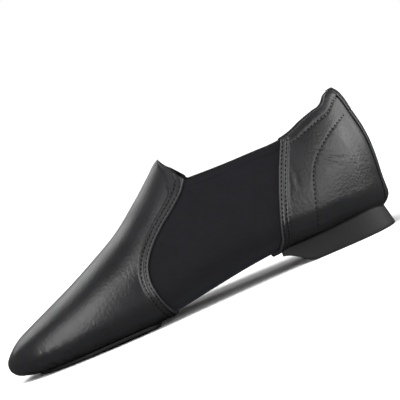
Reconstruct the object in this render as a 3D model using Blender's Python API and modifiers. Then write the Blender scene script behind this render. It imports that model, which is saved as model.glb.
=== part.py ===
# Slip-on jazz shoe with a split sole, right foot, built as its maker puts it together.
# Metres. +X points to the toe, +Y to the inner side of the foot, +Z up, and the floor is Z = 0.
# Every curved piece is cut from one surface, the outside of the stretch upper on its last.

import math

import bpy
import numpy as np

# Driving sizes of the last and of the opening
UPPER_LENGTH = 0.2400  # back of the stretch upper to its toe tip
BALL_WIDTH = 0.0925  # stretch upper across the widest part of the ball
INSTEP_HEIGHT = 0.0850  # floor to the ridge at the instep row of the section table
COLLAR_HEIGHT = 0.0700  # floor to the topline beside the ankle
BACK_LEAN = 0.0050  # how far the top of the heel leans in from its rearmost point
TOE_SPRING = 0.0074  # toe tip above the underside of the forefoot
OPENING_LENGTH = 0.1140  # back of the upper to the point of the vamp
CORNER_SETBACK = 0.0105  # point of the vamp to its corner on the topline
VAMP_SEAM_REACH = 0.0390  # vamp corner forward to the foremost point of its seam
QUARTER_TOP = 0.0440  # back of the upper to the quarter's front edge on the topline
QUARTER_FOOT = 0.0785  # back of the upper to the quarter's front edge under the arch
SIDE_SWING = 0.0050  # how far the middle of the foot bows to the outer side
RIDGE_SHIFT = 0.0030  # instep ridge towards the inner side

# Thicknesses and fits
WALL = 0.0015  # stretch fabric with its lining
LEATHER = 0.0010
EDGE_FOLD = 0.0004  # extra height of the turned and stitched leather edge
FOLD_WIDTH = 0.0050
FOLD_STEP = 0.0006  # width of the step down from the fold to the plain leather
GAP = 0.0003  # between pieces that lie on each other
INSOLE_THICKNESS = 0.0020
PATCH_THICKNESS = 0.0020
STRIP_THICKNESS = 0.0007

# Sole pieces
HEEL_SEAT = 0.0109  # height of the rubber heel under the middle of the seat
HEEL_START = 0.0030  # back of the upper to the back of the heel
HEEL_LENGTH = 0.0670
HEEL_WIDTH = 0.0550
SEAT_RISE = 0.0045  # highest that the heel's edge reaches above its seat
HEEL_FLARE = 0.0022  # its top is this much smaller all round than its underside
HEEL_FLAT = 0.0490  # part of the heel's length that stands on the floor
HEEL_FLANGE_LIFT = 0.0088  # floor to the underside of the flange's front edge
PATCH_START = 0.1490  # back of the upper to the patch's rear edge
PATCH_LENGTH = 0.0765
PATCH_WIDTH = 0.0720
LASTING_MARGIN = 0.0095  # leather and fabric turned in under a sole piece
BACK_STRIP_WIDTH = 0.0180
BACK_STRIP_FOOT = 0.0165  # floor to the strip's lower end

# Cutters, which reach past what they cut
PAST = 0.0100
STRIP_CUT_DEPTH = 0.0300  # both ways from the back of the upper
STRIP_CUT_TOP = 0.1200
PATCH_CUT_TOP = 0.0300
LASTING_CUT_TOP = 0.0260

# Heights that follow from the layers
STACK = LEATHER + 2 * GAP  # one leather piece and the gaps on both sides of it
FORE_LIFT = PATCH_THICKNESS + STACK  # underside of the stretch upper at the ball
SEAT_LIFT = HEEL_SEAT + STACK  # underside of the stretch upper at the heel
CORNER_ALONG = OPENING_LENGTH - CORNER_SETBACK

# Sections from heel to toe. along: share of UPPER_LENGTH. half: half width, share of
# BALL_WIDTH. swing: middle of the section to the outer side, share of SIDE_SWING.
# lift: underside, 0 at FORE_LIFT and 1 at SEAT_LIFT. spring: share of TOE_SPRING.
# ridge: height of the section, share of that at the instep row. wide: height of the
# widest point, share of the section's height. crown: exponent of the upper half.
# flat: flat share of the underside.
SECTION_COLUMNS = (
    "along", "half", "swing", "lift", "spring", "ridge", "wide", "crown", "flat"
)
SECTIONS = (
    (0.000, 0.000, 0.00, 1.70, 0.00, 0.985, 0.15, 2.45, 0.38),
    (0.010, 0.124, 0.05, 1.22, 0.00, 1.030, 0.17, 2.40, 0.38),
    (0.035, 0.215, 0.12, 1.02, 0.00, 1.055, 0.18, 2.25, 0.38),
    (0.100, 0.336, 0.30, 1.00, 0.00, 1.065, 0.18, 1.90, 0.38),
    (0.180, 0.388, 0.45, 1.00, 0.00, 1.070, 0.18, 1.62, 0.38),
    (0.270, 0.412, 0.58, 0.98, 0.00, 1.070, 0.19, 1.52, 0.34),
    (0.380, 0.440, 0.80, 0.70, 0.00, 1.060, 0.22, 1.52, 0.26),
    (0.475, 0.468, 0.90, 0.36, 0.00, 1.000, 0.24, 1.62, 0.28),
    (0.560, 0.488, 0.85, 0.10, 0.00, 0.838, 0.26, 1.75, 0.45),
    (0.640, 0.500, 0.75, 0.00, 0.00, 0.676, 0.28, 1.90, 0.58),
    (0.710, 0.490, 0.60, 0.00, 0.00, 0.568, 0.30, 2.00, 0.60),
    (0.780, 0.460, 0.42, 0.00, 0.00, 0.468, 0.32, 2.05, 0.60),
    (0.850, 0.408, 0.22, 0.00, 0.01, 0.378, 0.35, 2.10, 0.58),
    (0.910, 0.338, 0.10, 0.00, 0.05, 0.300, 0.38, 2.15, 0.54),
    (0.955, 0.250, 0.04, 0.00, 0.16, 0.228, 0.41, 2.20, 0.48),
    (0.982, 0.162, 0.02, 0.00, 0.34, 0.148, 0.44, 2.20, 0.44),
    (1.000, 0.000, 0.00, 0.00, 1.00, 0.000, 0.45, 2.20, 0.40),
)
INSTEP_ROW = 0.475

# Topline. along: share of CORNER_ALONG. height: share of COLLAR_HEIGHT. The back rises
# into a low rounded tab.
TOPLINE_COLUMNS = ("along", "height")
TOPLINE = (
    (0.000, 1.200),
    (0.060, 1.204),
    (0.102, 1.196),
    (0.126, 1.174),
    (0.142, 1.142),
    (0.162, 1.119),
    (0.205, 1.101),
    (0.290, 1.062),
    (0.370, 1.016),
    (0.440, 0.994),
    (0.600, 0.990),
    (0.850, 0.996),
    (1.000, 1.007),
)

# Seams seen from the side. height: share of COLLAR_HEIGHT. reach: 0 at the topline,
# 1 at the foremost point.
SEAM_COLUMNS = ("height", "reach")
VAMP_SEAM = (
    (0.05, 0.86),
    (0.20, 0.95),
    (0.37, 1.00),
    (0.50, 0.95),
    (0.62, 0.80),
    (0.74, 0.56),
    (0.84, 0.31),
    (0.93, 0.11),
    (1.007, 0.00),
)
QUARTER_SEAM = (
    (0.150, 1.00),
    (0.185, 0.80),
    (0.240, 0.68),
    (0.340, 0.60),
    (0.480, 0.51),
    (0.630, 0.40),
    (0.790, 0.25),
    (0.900, 0.12),
    (0.990, 0.00),
)

# Back of the heel seen from the side. height: share of COLLAR_HEIGHT. forward: share
# of BACK_LEAN.
BACK_COLUMNS = ("height", "forward")
BACK = (
    (0.20, 0.36),
    (0.38, 0.30),
    (0.55, 0.08),
    (0.68, 0.00),
    (0.82, 0.14),
    (0.98, 0.56),
    (1.12, 0.94),
    (1.16, 1.16),
    (1.20, 1.62),
    (1.45, 4.50),
)
LEAN_FADE = 3  # power with which the lean fades towards the toe
PLAIN_BACK = 0.0120  # the cross lines behind this place don't follow the quarter's seam

# Outlines of the sole pieces from above. along: share of the piece's length, from its
# rear edge. half: half width, share of its full width.
OUTLINE_COLUMNS = ("along", "half")
HEEL_OUTLINE = (
    (0.000, 0.000),
    (0.020, 0.168),
    (0.070, 0.297),
    (0.150, 0.398),
    (0.260, 0.464),
    (0.400, 0.496),
    (0.600, 0.500),
    (0.850, 0.492),
    (0.965, 0.484),
    (1.000, 0.462),
)
PATCH_OUTLINE = (
    (0.000, 0.405),
    (0.020, 0.444),
    (0.060, 0.480),
    (0.120, 0.498),
    (0.220, 0.500),
    (0.400, 0.478),
    (0.580, 0.428),
    (0.720, 0.366),
    (0.840, 0.300),
    (0.930, 0.222),
    (0.980, 0.130),
    (1.000, 0.000),
)

# Hollow under the front of the heel. along: share of the part off the floor. height:
# share of HEEL_FLANGE_LIFT.
RAMP_COLUMNS = ("along", "height")
RAMP = (
    (0.00, 0.00),
    (0.12, 0.05),
    (0.30, 0.22),
    (0.56, 0.62),
    (0.80, 0.90),
    (1.00, 1.00),
)

# Grid of the surface: cross lines in each panel, and the places of the rows under the
# foot, from 0 at the middle through 1 at the end of the flat to 2 at the widest line.
TOE_LINES = 15
PEAK_LINES = 4
STRETCH_LINES = 8
QUARTER_ALONG = (
    0.000, 0.012, 0.055, 0.125, 0.172, 0.202, 0.235, 0.310, 0.430, 0.590, 0.760
)  # from the back line to the quarter's seam, short of its fold
LOWER_ROWS = (0, 0.6, 1, 1.25, 1.5, 1.75, 2)
UNDER_STRIP = 3  # lines from the back that the back strip covers, which have no fold
UPPER_ROWS = 6  # above the widest line and below the fold's step
OUTLINE_STEPS = 22
FINE = 120  # samples along one cross line before it is divided
MOST_SETTLES = 60  # rounds that bring a line's points onto its seam curve
SETTLED = 2e-5  # change, share of the length, at which they stop

BLACK_LEATHER = ("black full-grain leather", (0.020, 0.020, 0.021), 0.38)
STRETCH_FABRIC = ("black stretch fabric", (0.014, 0.014, 0.018), 0.85)
SOLE_RUBBER = ("black sole rubber", (0.017, 0.017, 0.017), 0.62)
INSOLE_FABRIC = ("black insole fabric", (0.022, 0.022, 0.022), 0.90)


def smooth(table, columns, key, name, at, warp=None):
    """The named column of a table at some values of its key, as a smooth curve."""
    knots = np.array([row[columns.index(key)] for row in table], float)
    values = np.array([row[columns.index(name)] for row in table], float)
    at = np.asarray(at, float)
    if warp is not None:
        knots = warp(knots)
        at = warp(at)
    slopes = np.gradient(values, knots)
    rise = np.diff(values)
    slopes[1:-1][rise[:-1] * rise[1:] <= 0] = 0  # level at each highest or lowest row
    at = np.clip(at, knots[0], knots[-1])
    place = np.clip(np.searchsorted(knots, at, side="right") - 1, 0, len(knots) - 2)
    width = knots[place + 1] - knots[place]
    t = (at - knots[place]) / width
    before, after = values[place], values[place + 1]
    return (
        (2 * t**3 - 3 * t**2 + 1) * before
        + (t**3 - 2 * t**2 + t) * width * slopes[place]
        + (3 * t**2 - 2 * t**3) * after
        + (t**3 - t**2) * width * slopes[place + 1]
    )


def round_ends(along):
    """Turns a share of the length into an angle, so that both ends come out round."""
    return np.arccos(1 - 2 * np.clip(along, 0, 1))


def section(name, along):
    return smooth(SECTIONS, SECTION_COLUMNS, "along", name, along, round_ends)


def underside(along):
    lift = FORE_LIFT + section("lift", along) * (SEAT_LIFT - FORE_LIFT)
    return lift + section("spring", along) * TOE_SPRING


def ridge(along):
    instep = INSTEP_HEIGHT - underside(INSTEP_ROW)
    return underside(along) + section("ridge", along) * instep


def middle(along):
    return -section("swing", along) * SIDE_SWING


def back_lean(height):
    return smooth(BACK, BACK_COLUMNS, "height", "forward", height / COLLAR_HEIGHT) * BACK_LEAN


def surface_point(along, row, side):
    """Points of the surface. row is 0 at the middle of the underside, 1 at the end of
    the flat, 2 at the widest line and 3 at the ridge. side is 1 inside, -1 outside."""
    half = np.maximum(section("half", along), 0) * BALL_WIDTH
    low, high = underside(along), ridge(along)
    wide = low + section("wide", along) * (high - low)
    flat = section("flat", along) * half
    bend = (np.clip(row, 1, 2) - 1) * math.pi / 2
    across = flat * np.clip(row, 0, 1) + (half - flat) * np.sin(bend)
    height = low + (wide - low) * (1 - np.cos(bend))
    crown = 2 / section("crown", along)
    turn = (np.clip(row, 2, 3) - 2) * math.pi / 2
    up = np.sin(turn) ** crown
    above = row > 2
    across = np.where(above, half * np.maximum(np.cos(turn), 0) ** crown, across)
    height = np.where(above, wide + (high - wide) * up, height)
    shift = np.where(above, RIDGE_SHIFT * up**2 * section("half", along) * 2, 0)
    x = along * UPPER_LENGTH + back_lean(height) * (1 - along) ** LEAN_FADE
    return np.stack([x, side * across + middle(along) + shift, height], axis=-1)


def vamp_seam(height):
    share = smooth(VAMP_SEAM, SEAM_COLUMNS, "height", "reach", height / COLLAR_HEIGHT)
    return CORNER_ALONG + share * VAMP_SEAM_REACH


def quarter_seam(height):
    share = smooth(QUARTER_SEAM, SEAM_COLUMNS, "height", "reach", height / COLLAR_HEIGHT)
    return QUARTER_TOP + share * (QUARTER_FOOT - QUARTER_TOP)


SEAM_LEVEL = 0.37 * COLLAR_HEIGHT  # height at which a cross line's own place is read
VAMP_LINE = float(vamp_seam(SEAM_LEVEL))
QUARTER_LINE = float(quarter_seam(SEAM_LEVEL))


def cross_line(place, rows, side):
    """Points of one cross line of the grid. It is straight at the toe and the back, and
    takes the shape of each seam as it comes near it."""
    to_vamp = np.interp(place, (QUARTER_LINE, VAMP_LINE, UPPER_LENGTH), (0, 1, 0))
    to_quarter = np.interp(place, (PLAIN_BACK, QUARTER_LINE, VAMP_LINE), (0, 1, 0))
    rows = np.asarray(rows, float)
    along = np.full(rows.shape, place / UPPER_LENGTH)
    for _ in range(MOST_SETTLES):
        before = along
        height = surface_point(along, rows, side)[..., 2]
        x = place + to_vamp * (vamp_seam(height) - VAMP_LINE)
        x = x + to_quarter * (quarter_seam(height) - QUARTER_LINE)
        along = np.clip(x / UPPER_LENGTH, 0, 1)
        if np.abs(along - before).max() < SETTLED:
            break
    return surface_point(along, rows, side)


def topline(x):
    """Height of the upper's edge at a distance from the back."""
    height = COLLAR_HEIGHT * smooth(TOPLINE, TOPLINE_COLUMNS, "along", "height", x / CORNER_ALONG)
    corner = COLLAR_HEIGHT * TOPLINE[-1][1]
    peak = float(ridge(OPENING_LENGTH / UPPER_LENGTH))
    rise = corner + (peak - corner) * (x - CORNER_ALONG) / CORNER_SETBACK
    return np.where(x > CORNER_ALONG, rise, height)


def line_to_peak():
    """Place of the cross line that ends on the point of the vamp."""
    low, high = VAMP_LINE, UPPER_LENGTH
    for _ in range(18):
        mid = (low + high) / 2
        end = cross_line(mid, [3], 1)[0]
        low, high = (mid, high) if end[0] < OPENING_LENGTH else (low, mid)
    return high


def divided(points):
    """Points along a polyline: equal parts, then the two edges of the fold's step, and
    the end. Short lines keep the step in proportion."""
    step = np.linalg.norm(np.diff(points, axis=0), axis=1)
    run = np.concatenate([[0], np.cumsum(step)])
    fold = min(FOLD_WIDTH, 0.28 * run[-1])
    foot = run[-1] - fold - min(FOLD_STEP, 0.08 * run[-1])
    at = np.concatenate([np.linspace(0, foot, UPPER_ROWS + 1), run[-1] - [fold, 0]])
    return np.stack([np.interp(at, run, points[:, k]) for k in range(3)], axis=1)


def grid_line(place, side, closed):
    """One side of a cross line, from the middle of the underside to the topline, or to
    the ridge where the upper is closed."""
    lower = cross_line(place, LOWER_ROWS, side)
    upper = cross_line(place, np.linspace(2, 3, FINE), side)
    if not closed:
        over = upper[:, 2] - topline(upper[:, 0])
        first = int(np.argmax(over >= 0))
        share = over[first - 1] / (over[first - 1] - over[first])
        end = upper[first - 1] + share * (upper[first] - upper[first - 1])
        upper = np.vstack([upper[:first], end])
    return np.vstack([lower, divided(upper)[1:]])


def line_places():
    """Places of all cross lines, toe first, and the index of the last closed one, of
    the vamp's seam and of the quarter's."""
    peak = line_to_peak()
    turn = round_ends(np.array([peak / UPPER_LENGTH]))[0]
    toe = UPPER_LENGTH * (1 - np.cos(np.linspace(math.pi, turn, TOE_LINES + 1))) / 2
    fold = VAMP_LINE + FOLD_WIDTH
    front = np.linspace(peak, fold + FOLD_STEP, PEAK_LINES + 1)[1:]
    stretch = np.linspace(VAMP_LINE, QUARTER_LINE, STRETCH_LINES + 1)[1:]
    rear_fold = QUARTER_LINE - FOLD_WIDTH - FOLD_STEP * np.arange(2)
    quarter = QUARTER_LINE * np.array(QUARTER_ALONG[::-1])
    places = np.concatenate([toe, front, [fold, VAMP_LINE], stretch, rear_fold, quarter])
    vamp_end = TOE_LINES + PEAK_LINES + 2
    return places, TOE_LINES, vamp_end, vamp_end + STRETCH_LINES


PLACES, PEAK_INDEX, VAMP_INDEX, QUARTER_INDEX = line_places()
FLOOR_ROWS = len(LOWER_ROWS) - 1
ROWS = FLOOR_ROWS + UPPER_ROWS + 2


def surface_points():
    """The grid as an array: cross line, row from the outer topline to the inner, xyz."""
    grid = np.zeros((len(PLACES), 2 * ROWS + 1, 3))
    for i, place in enumerate(PLACES):
        closed = i <= PEAK_INDEX
        grid[i, : ROWS + 1] = grid_line(place, -1, closed)[::-1]
        grid[i, ROWS:] = grid_line(place, 1, closed)
        if closed:
            grid[i, 0] = grid[i, -1]
    grid[0] = grid[0, ROWS]
    grid[-1, :ROWS] = grid[-1, :ROWS:-1]
    return grid


def shared_points(grid):
    """A number for each place of the grid, the same where its points meet."""
    flat = grid.reshape(-1, 3)
    _, number = np.unique(flat, axis=0, return_inverse=True)
    return number.reshape(grid.shape[:2])


def outward(grid, number):
    """Unit normals of the surface at the grid's points."""
    face = np.cross(grid[1:, :-1] - grid[:-1, 1:], grid[1:, 1:] - grid[:-1, :-1])
    total = np.zeros((number.max() + 1, 3))
    for i in (slice(0, -1), slice(1, None)):
        for j in (slice(0, -1), slice(1, None)):
            np.add.at(total, number[i, j], face)
    total /= np.linalg.norm(total, axis=1, keepdims=True)
    return total[number]


GRID = surface_points()
NUMBER = shared_points(GRID)
NORMAL = outward(GRID, NUMBER)


def new_object(name, points, faces, look=None):
    """A mesh object. Without a look it is a cutter: drawn as wires, not part of the shoe."""
    mesh = bpy.data.meshes.new(name)
    mesh.from_pydata([tuple(point) for point in points], [], faces)
    thing = bpy.data.objects.new(name, mesh)
    if look is None:
        thing.hide_render = True
        thing.display_type = "WIRE"
        CUTTERS.objects.link(thing)
    else:
        mesh.shade_smooth()
        mesh.materials.append(material(*look))
        PARTS.objects.link(thing)
    return thing


def material(name, color, roughness):
    found = bpy.data.materials.get(name)
    if found is None:
        found = bpy.data.materials.new(name)
        found.use_nodes = True
        shader = found.node_tree.nodes["Principled BSDF"]
        shader.inputs["Base Color"].default_value = (*color, 1)
        shader.inputs["Roughness"].default_value = roughness
        shader.inputs["Metallic"].default_value = 0
    return found


def sheet(first, last, reach):
    """Triangles of the grid between two cross lines, as many rows either side of the
    middle as reach says, with the numbers of the shared points as corners. Each place
    is split along its shorter diagonal, the same way in every piece."""
    faces = []
    for i in range(first, last):
        for j in range(ROWS - reach, ROWS + reach):
            ring = [(i, j), (i + 1, j), (i + 1, j + 1), (i, j + 1)]
            across = np.linalg.norm(GRID[ring[0]] - GRID[ring[2]])
            if across > np.linalg.norm(GRID[ring[1]] - GRID[ring[3]]):
                ring = ring[1:] + ring[:1]
            number = [int(NUMBER[place]) for place in ring]
            for corners in (number[:3], number[2:] + number[:1]):
                if len(set(corners)) == 3:
                    faces.append(corners)
    return faces


def wall(name, start, thickness, first=0, last=None, reach=ROWS, look=None, fold=None):
    """A wall on the surface, between two cross lines. It starts at an offset and grows
    outwards, or inwards where its thickness is negative. It is thicker by EDGE_FOLD at
    the places of the grid that fold marks."""
    last = len(PLACES) - 1 if last is None else last
    faces = sheet(first, last, reach)
    points = np.zeros((NUMBER.max() + 1, 3))
    points[NUMBER] = GRID + NORMAL * start
    used = sorted({corner for ring in faces for corner in ring})
    order = {corner: k for k, corner in enumerate(used)}
    faces = [[order[corner] for corner in ring] for ring in faces]
    thing = new_object(name, points[used], faces, look)
    solid = thing.modifiers.new("wall", "SOLIDIFY")
    solid.thickness = abs(thickness)
    solid.offset = math.copysign(1, thickness)
    if fold is not None:
        folded = [order[k] for k in sorted(set(NUMBER[fold])) if k in order]
        thing.vertex_groups.new(name="fold").add(folded, 1, "REPLACE")
        solid.vertex_group = "fold"
        solid.thickness += EDGE_FOLD
        solid.thickness_vertex_group = abs(thickness) / solid.thickness
    return thing


def prism(name, sections, look=None):
    """A closed stack of equal rings, given from the lowest to the highest, each going
    round anticlockwise from above."""
    count = len(sections[0])
    faces = [list(range(count))[::-1]]
    for level in range(len(sections) - 1):
        for k in range(count):
            a, b = level * count + k, level * count + (k + 1) % count
            faces.append([a, b, b + count, a + count])
    faces.append(list(range((len(sections) - 1) * count, len(sections) * count)))
    return new_object(name, np.vstack(sections), faces, look)


def outline(table, start, length, width, height, round_at_rear):
    """A sole piece's outline at one height, following the middle of the upper."""
    along = (1 - np.cos(np.linspace(0, math.pi, OUTLINE_STEPS))) / 2
    bend = np.sqrt if round_at_rear else lambda share: -np.sqrt(1 - share)
    share = smooth(table, OUTLINE_COLUMNS, "along", "half", along, bend)
    x = start + along * length
    half = share * width
    centre = middle(x / UPPER_LENGTH)
    right = np.stack([x, centre - half, np.full_like(x, height)], axis=1)
    left = np.stack([x, centre + half, np.full_like(x, height)], axis=1)[::-1]
    if round_at_rear:
        left = left[:-1]
    else:
        left = left[1:]
    return np.vstack([right, left])


def boolean(thing, operation, cutter):
    step = thing.modifiers.new(f"{operation.lower()} {cutter.name}", "BOOLEAN")
    step.operation = operation
    step.solver = "EXACT"
    step.object = cutter


def cut_openings(thing, heel_hole, patch_hole):
    for hole in (heel_hole, patch_hole):
        if hole is not None:
            boolean(thing, "DIFFERENCE", hole)


def fold_marks(seam_lines, seam_rows, top_lines):
    """Places of the grid on a leather piece's fold: along its seam, in the rows that far
    from the middle of the underside, and below the topline."""
    away = np.abs(np.arange(2 * ROWS + 1) - ROWS)
    marks = np.zeros(NUMBER.shape, bool)
    marks[np.ix_(seam_lines, away >= seam_rows)] = True
    marks[np.ix_(top_lines, away >= ROWS - 1)] = True
    return marks


def make_upper():
    return wall("upper", 0, -WALL, look=STRETCH_FABRIC)


def make_vamp():
    seam = range(VAMP_INDEX - 1, VAMP_INDEX + 1)
    fold = fold_marks(seam, 0, range(PEAK_INDEX + 1, VAMP_INDEX))
    return wall("vamp", GAP, LEATHER, 0, VAMP_INDEX, look=BLACK_LEATHER, fold=fold)


def make_quarter():
    seam = range(QUARTER_INDEX, QUARTER_INDEX + 2)
    top = range(QUARTER_INDEX, len(PLACES) - UNDER_STRIP)
    fold = fold_marks(seam, FLOOR_ROWS - 1, top)
    return wall("quarter", GAP, LEATHER, QUARTER_INDEX, look=BLACK_LEATHER, fold=fold)


def make_back_strip():
    first = len(PLACES) - 1 - UNDER_STRIP
    strip = wall("back_strip", STACK, STRIP_THICKNESS, first, look=BLACK_LEATHER)
    half = BACK_STRIP_WIDTH / 2
    deep = STRIP_CUT_DEPTH
    corners = np.array([[-deep, -half], [deep, -half], [deep, half], [-deep, half]])
    levels = []
    for height in (BACK_STRIP_FOOT, STRIP_CUT_TOP):
        levels.append(np.hstack([corners, np.full((4, 1), height)]))
    boolean(strip, "INTERSECT", prism("strip_limits", levels))
    return strip


def make_heel():
    levels = []
    for share in (0, 1):
        shrink = HEEL_FLARE * share
        levels.append(
            outline(
                HEEL_OUTLINE,
                HEEL_START + shrink,
                HEEL_LENGTH - shrink,
                HEEL_WIDTH - 2 * shrink,
                share * (HEEL_SEAT + SEAT_RISE),
                True,
            )
        )
    heel = prism("heel", levels, look=SOLE_RUBBER)
    along = np.linspace(0, 1, 12)
    x = HEEL_START + HEEL_FLAT + along * (HEEL_LENGTH - HEEL_FLAT)
    z = smooth(RAMP, RAMP_COLUMNS, "along", "height", along) * HEEL_FLANGE_LIFT
    front = x[-1] + PAST
    profile = [(x[0], -PAST), *zip(x, z), (front, z[-1]), (front, -PAST)]
    side = np.array([(px, -HEEL_WIDTH, pz) for px, pz in profile])
    other = side * (1, -1, 1)
    boolean(heel, "DIFFERENCE", prism("heel_hollow", [side, other]))
    boolean(heel, "DIFFERENCE", last_form())
    return heel


def last_form():
    """What the lasted leather fills under the foot: the heel is cut to it."""
    first = QUARTER_INDEX - 3
    return wall("last_form", STACK, -STACK - SEAT_RISE, first, reach=FLOOR_ROWS)


def make_forefoot_sole():
    patch = wall(
        "forefoot_sole",
        STACK,
        PATCH_THICKNESS,
        last=VAMP_INDEX + 1,
        reach=FLOOR_ROWS,
        look=SOLE_RUBBER,
    )
    levels = []
    for height in (-PAST, PATCH_CUT_TOP):
        levels.append(
            outline(PATCH_OUTLINE, PATCH_START, PATCH_LENGTH, PATCH_WIDTH, height, False)
        )
    boolean(patch, "INTERSECT", prism("patch_limits", levels))
    return patch


def lasting_hole(name, table, start, length, width, round_at_rear):
    """The opening in the upper and its leather over a sole piece."""
    levels = []
    for height in (-PAST, LASTING_CUT_TOP):
        levels.append(
            outline(
                table,
                start + LASTING_MARGIN,
                length - 2 * LASTING_MARGIN,
                width - 2 * LASTING_MARGIN,
                height,
                round_at_rear,
            )
        )
    return prism(name, levels)


def make_insole():
    return wall(
        "insole",
        -WALL - GAP,
        -INSOLE_THICKNESS,
        first=2,
        last=len(PLACES) - 3,
        reach=FLOOR_ROWS - 2,
        look=INSOLE_FABRIC,
    )


def bounds():
    """Lowest and highest corner of the finished shoe."""
    graph = bpy.context.evaluated_depsgraph_get()
    corners = []
    for thing in PARTS.objects:
        made = thing.evaluated_get(graph)
        corners += [made.matrix_world @ vert.co for vert in made.data.vertices]
    corners = np.array(corners)
    return corners.min(axis=0), corners.max(axis=0)


def centre_on_floor():
    """Puts the origin under the middle of the shoe, on the floor."""
    low, high = bounds()
    shift = (-(low[0] + high[0]) / 2, -(low[1] + high[1]) / 2, 0)
    for thing in bpy.data.objects:
        thing.location = shift
    print(f"shift {shift[0] * 1000:.3f} {shift[1] * 1000:.3f} mm, floor {low[2] * 1000:.3f}")
    print("size", ", ".join(f"{side * 1000:.1f}" for side in high - low), "mm")


for thing in list(bpy.data.objects):
    bpy.data.objects.remove(thing)
PARTS = bpy.data.collections.new("jazz shoe")
CUTTERS = bpy.data.collections.new("cutters")
bpy.context.scene.collection.children.link(PARTS)
bpy.context.scene.collection.children.link(CUTTERS)

upper = make_upper()
vamp = make_vamp()
quarter = make_quarter()
make_back_strip()
make_heel()
make_forefoot_sole()
make_insole()
heel_hole = lasting_hole(
    "heel_opening", HEEL_OUTLINE, HEEL_START, HEEL_LENGTH, HEEL_WIDTH, True
)
patch_hole = lasting_hole(
    "forefoot_opening", PATCH_OUTLINE, PATCH_START, PATCH_LENGTH, PATCH_WIDTH, False
)
cut_openings(upper, heel_hole, patch_hole)
cut_openings(vamp, None, patch_hole)
cut_openings(quarter, heel_hole, None)
centre_on_floor()
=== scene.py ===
import math

import bmesh
import bpy
import numpy as np
from mathutils import Matrix, Vector
from mathutils.bvhtree import BVHTree


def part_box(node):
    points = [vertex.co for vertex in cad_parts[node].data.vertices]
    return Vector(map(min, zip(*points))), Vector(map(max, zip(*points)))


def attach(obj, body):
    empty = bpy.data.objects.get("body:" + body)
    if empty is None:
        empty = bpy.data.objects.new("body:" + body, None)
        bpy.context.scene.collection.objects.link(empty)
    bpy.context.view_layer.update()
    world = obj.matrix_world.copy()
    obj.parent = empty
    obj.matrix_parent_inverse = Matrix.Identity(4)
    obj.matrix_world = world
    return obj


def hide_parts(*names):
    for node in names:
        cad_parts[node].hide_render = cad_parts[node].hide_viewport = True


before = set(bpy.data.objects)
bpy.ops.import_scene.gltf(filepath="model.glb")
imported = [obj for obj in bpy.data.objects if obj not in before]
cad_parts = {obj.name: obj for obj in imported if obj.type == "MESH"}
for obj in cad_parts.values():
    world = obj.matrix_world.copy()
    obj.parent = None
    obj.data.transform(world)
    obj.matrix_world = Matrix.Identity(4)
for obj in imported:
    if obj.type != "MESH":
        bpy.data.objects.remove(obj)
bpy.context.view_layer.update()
print("packed shoe loaded")

mm = 0.001

# The last, in mm: x runs forward from the back of the stretch boot, y to the inner
# side of the foot, z up from the floor. Every panel below is laid on this one surface.
last = {
    "length": 240.0,
    "ballWidth": 92.5,
    "instepHeight": 85.0,
    "collarHeight": 70.0,
    "backLean": 5.0,
    "toeSpring": 7.4,
    "openingLength": 114.0,  # back of the boot to the point of the vamp
    "cornerSetback": 10.5,
    "vampReach": 39.0,
    "quarterTop": 44.0,
    "quarterFoot": 78.5,
    "swing": 5.0,
    "ridgeShift": 3.0,
    "foreLift": 3.6,
    "seatLift": 12.5,
    "leanFade": 3,
}
last["corner"] = last["openingLength"] - last["cornerSetback"]

sectionNames = ["along", "half", "swing", "lift", "spring", "ridge", "wide", "crown", "flat"]
sectionRows = [
    (0.000, 0.000, 0.00, 1.70, 0.00, 0.985, 0.15, 2.45, 0.38),
    (0.010, 0.124, 0.05, 1.22, 0.00, 1.030, 0.17, 2.40, 0.38),
    (0.035, 0.215, 0.12, 1.02, 0.00, 1.055, 0.18, 2.25, 0.38),
    (0.100, 0.336, 0.30, 1.00, 0.00, 1.065, 0.18, 1.90, 0.38),
    (0.180, 0.388, 0.45, 1.00, 0.00, 1.070, 0.18, 1.62, 0.38),
    (0.270, 0.412, 0.58, 0.98, 0.00, 1.070, 0.19, 1.52, 0.34),
    (0.380, 0.440, 0.80, 0.70, 0.00, 1.060, 0.22, 1.52, 0.26),
    (0.475, 0.468, 0.90, 0.36, 0.00, 1.000, 0.24, 1.62, 0.28),
    (0.560, 0.488, 0.85, 0.10, 0.00, 0.838, 0.26, 1.75, 0.45),
    (0.640, 0.500, 0.75, 0.00, 0.00, 0.676, 0.28, 1.90, 0.58),
    (0.710, 0.490, 0.60, 0.00, 0.00, 0.568, 0.30, 2.00, 0.60),
    (0.780, 0.460, 0.42, 0.00, 0.00, 0.468, 0.32, 2.05, 0.60),
    (0.850, 0.408, 0.22, 0.00, 0.01, 0.378, 0.35, 2.10, 0.58),
    (0.910, 0.338, 0.10, 0.00, 0.05, 0.300, 0.38, 2.15, 0.54),
    (0.955, 0.250, 0.04, 0.00, 0.16, 0.228, 0.41, 2.20, 0.48),
    (0.982, 0.162, 0.02, 0.00, 0.34, 0.148, 0.44, 2.20, 0.44),
    (1.000, 0.000, 0.00, 0.00, 1.00, 0.000, 0.45, 2.20, 0.40),
]
toplineRows = [  # share of the way to the vamp's corner, share of the collar's height
    (0.000, 1.200), (0.060, 1.204), (0.102, 1.196), (0.126, 1.174), (0.142, 1.142),
    (0.162, 1.119), (0.205, 1.101), (0.290, 1.062), (0.370, 1.016), (0.440, 0.994),
    (0.600, 0.990), (0.850, 0.996), (1.000, 1.007),
]
vampSeamRows = [  # share of the collar's height, share of the seam's reach
    (0.05, 0.86), (0.20, 0.95), (0.37, 1.00), (0.50, 0.95), (0.62, 0.80),
    (0.74, 0.56), (0.84, 0.31), (0.93, 0.11), (1.007, 0.00),
]
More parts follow.
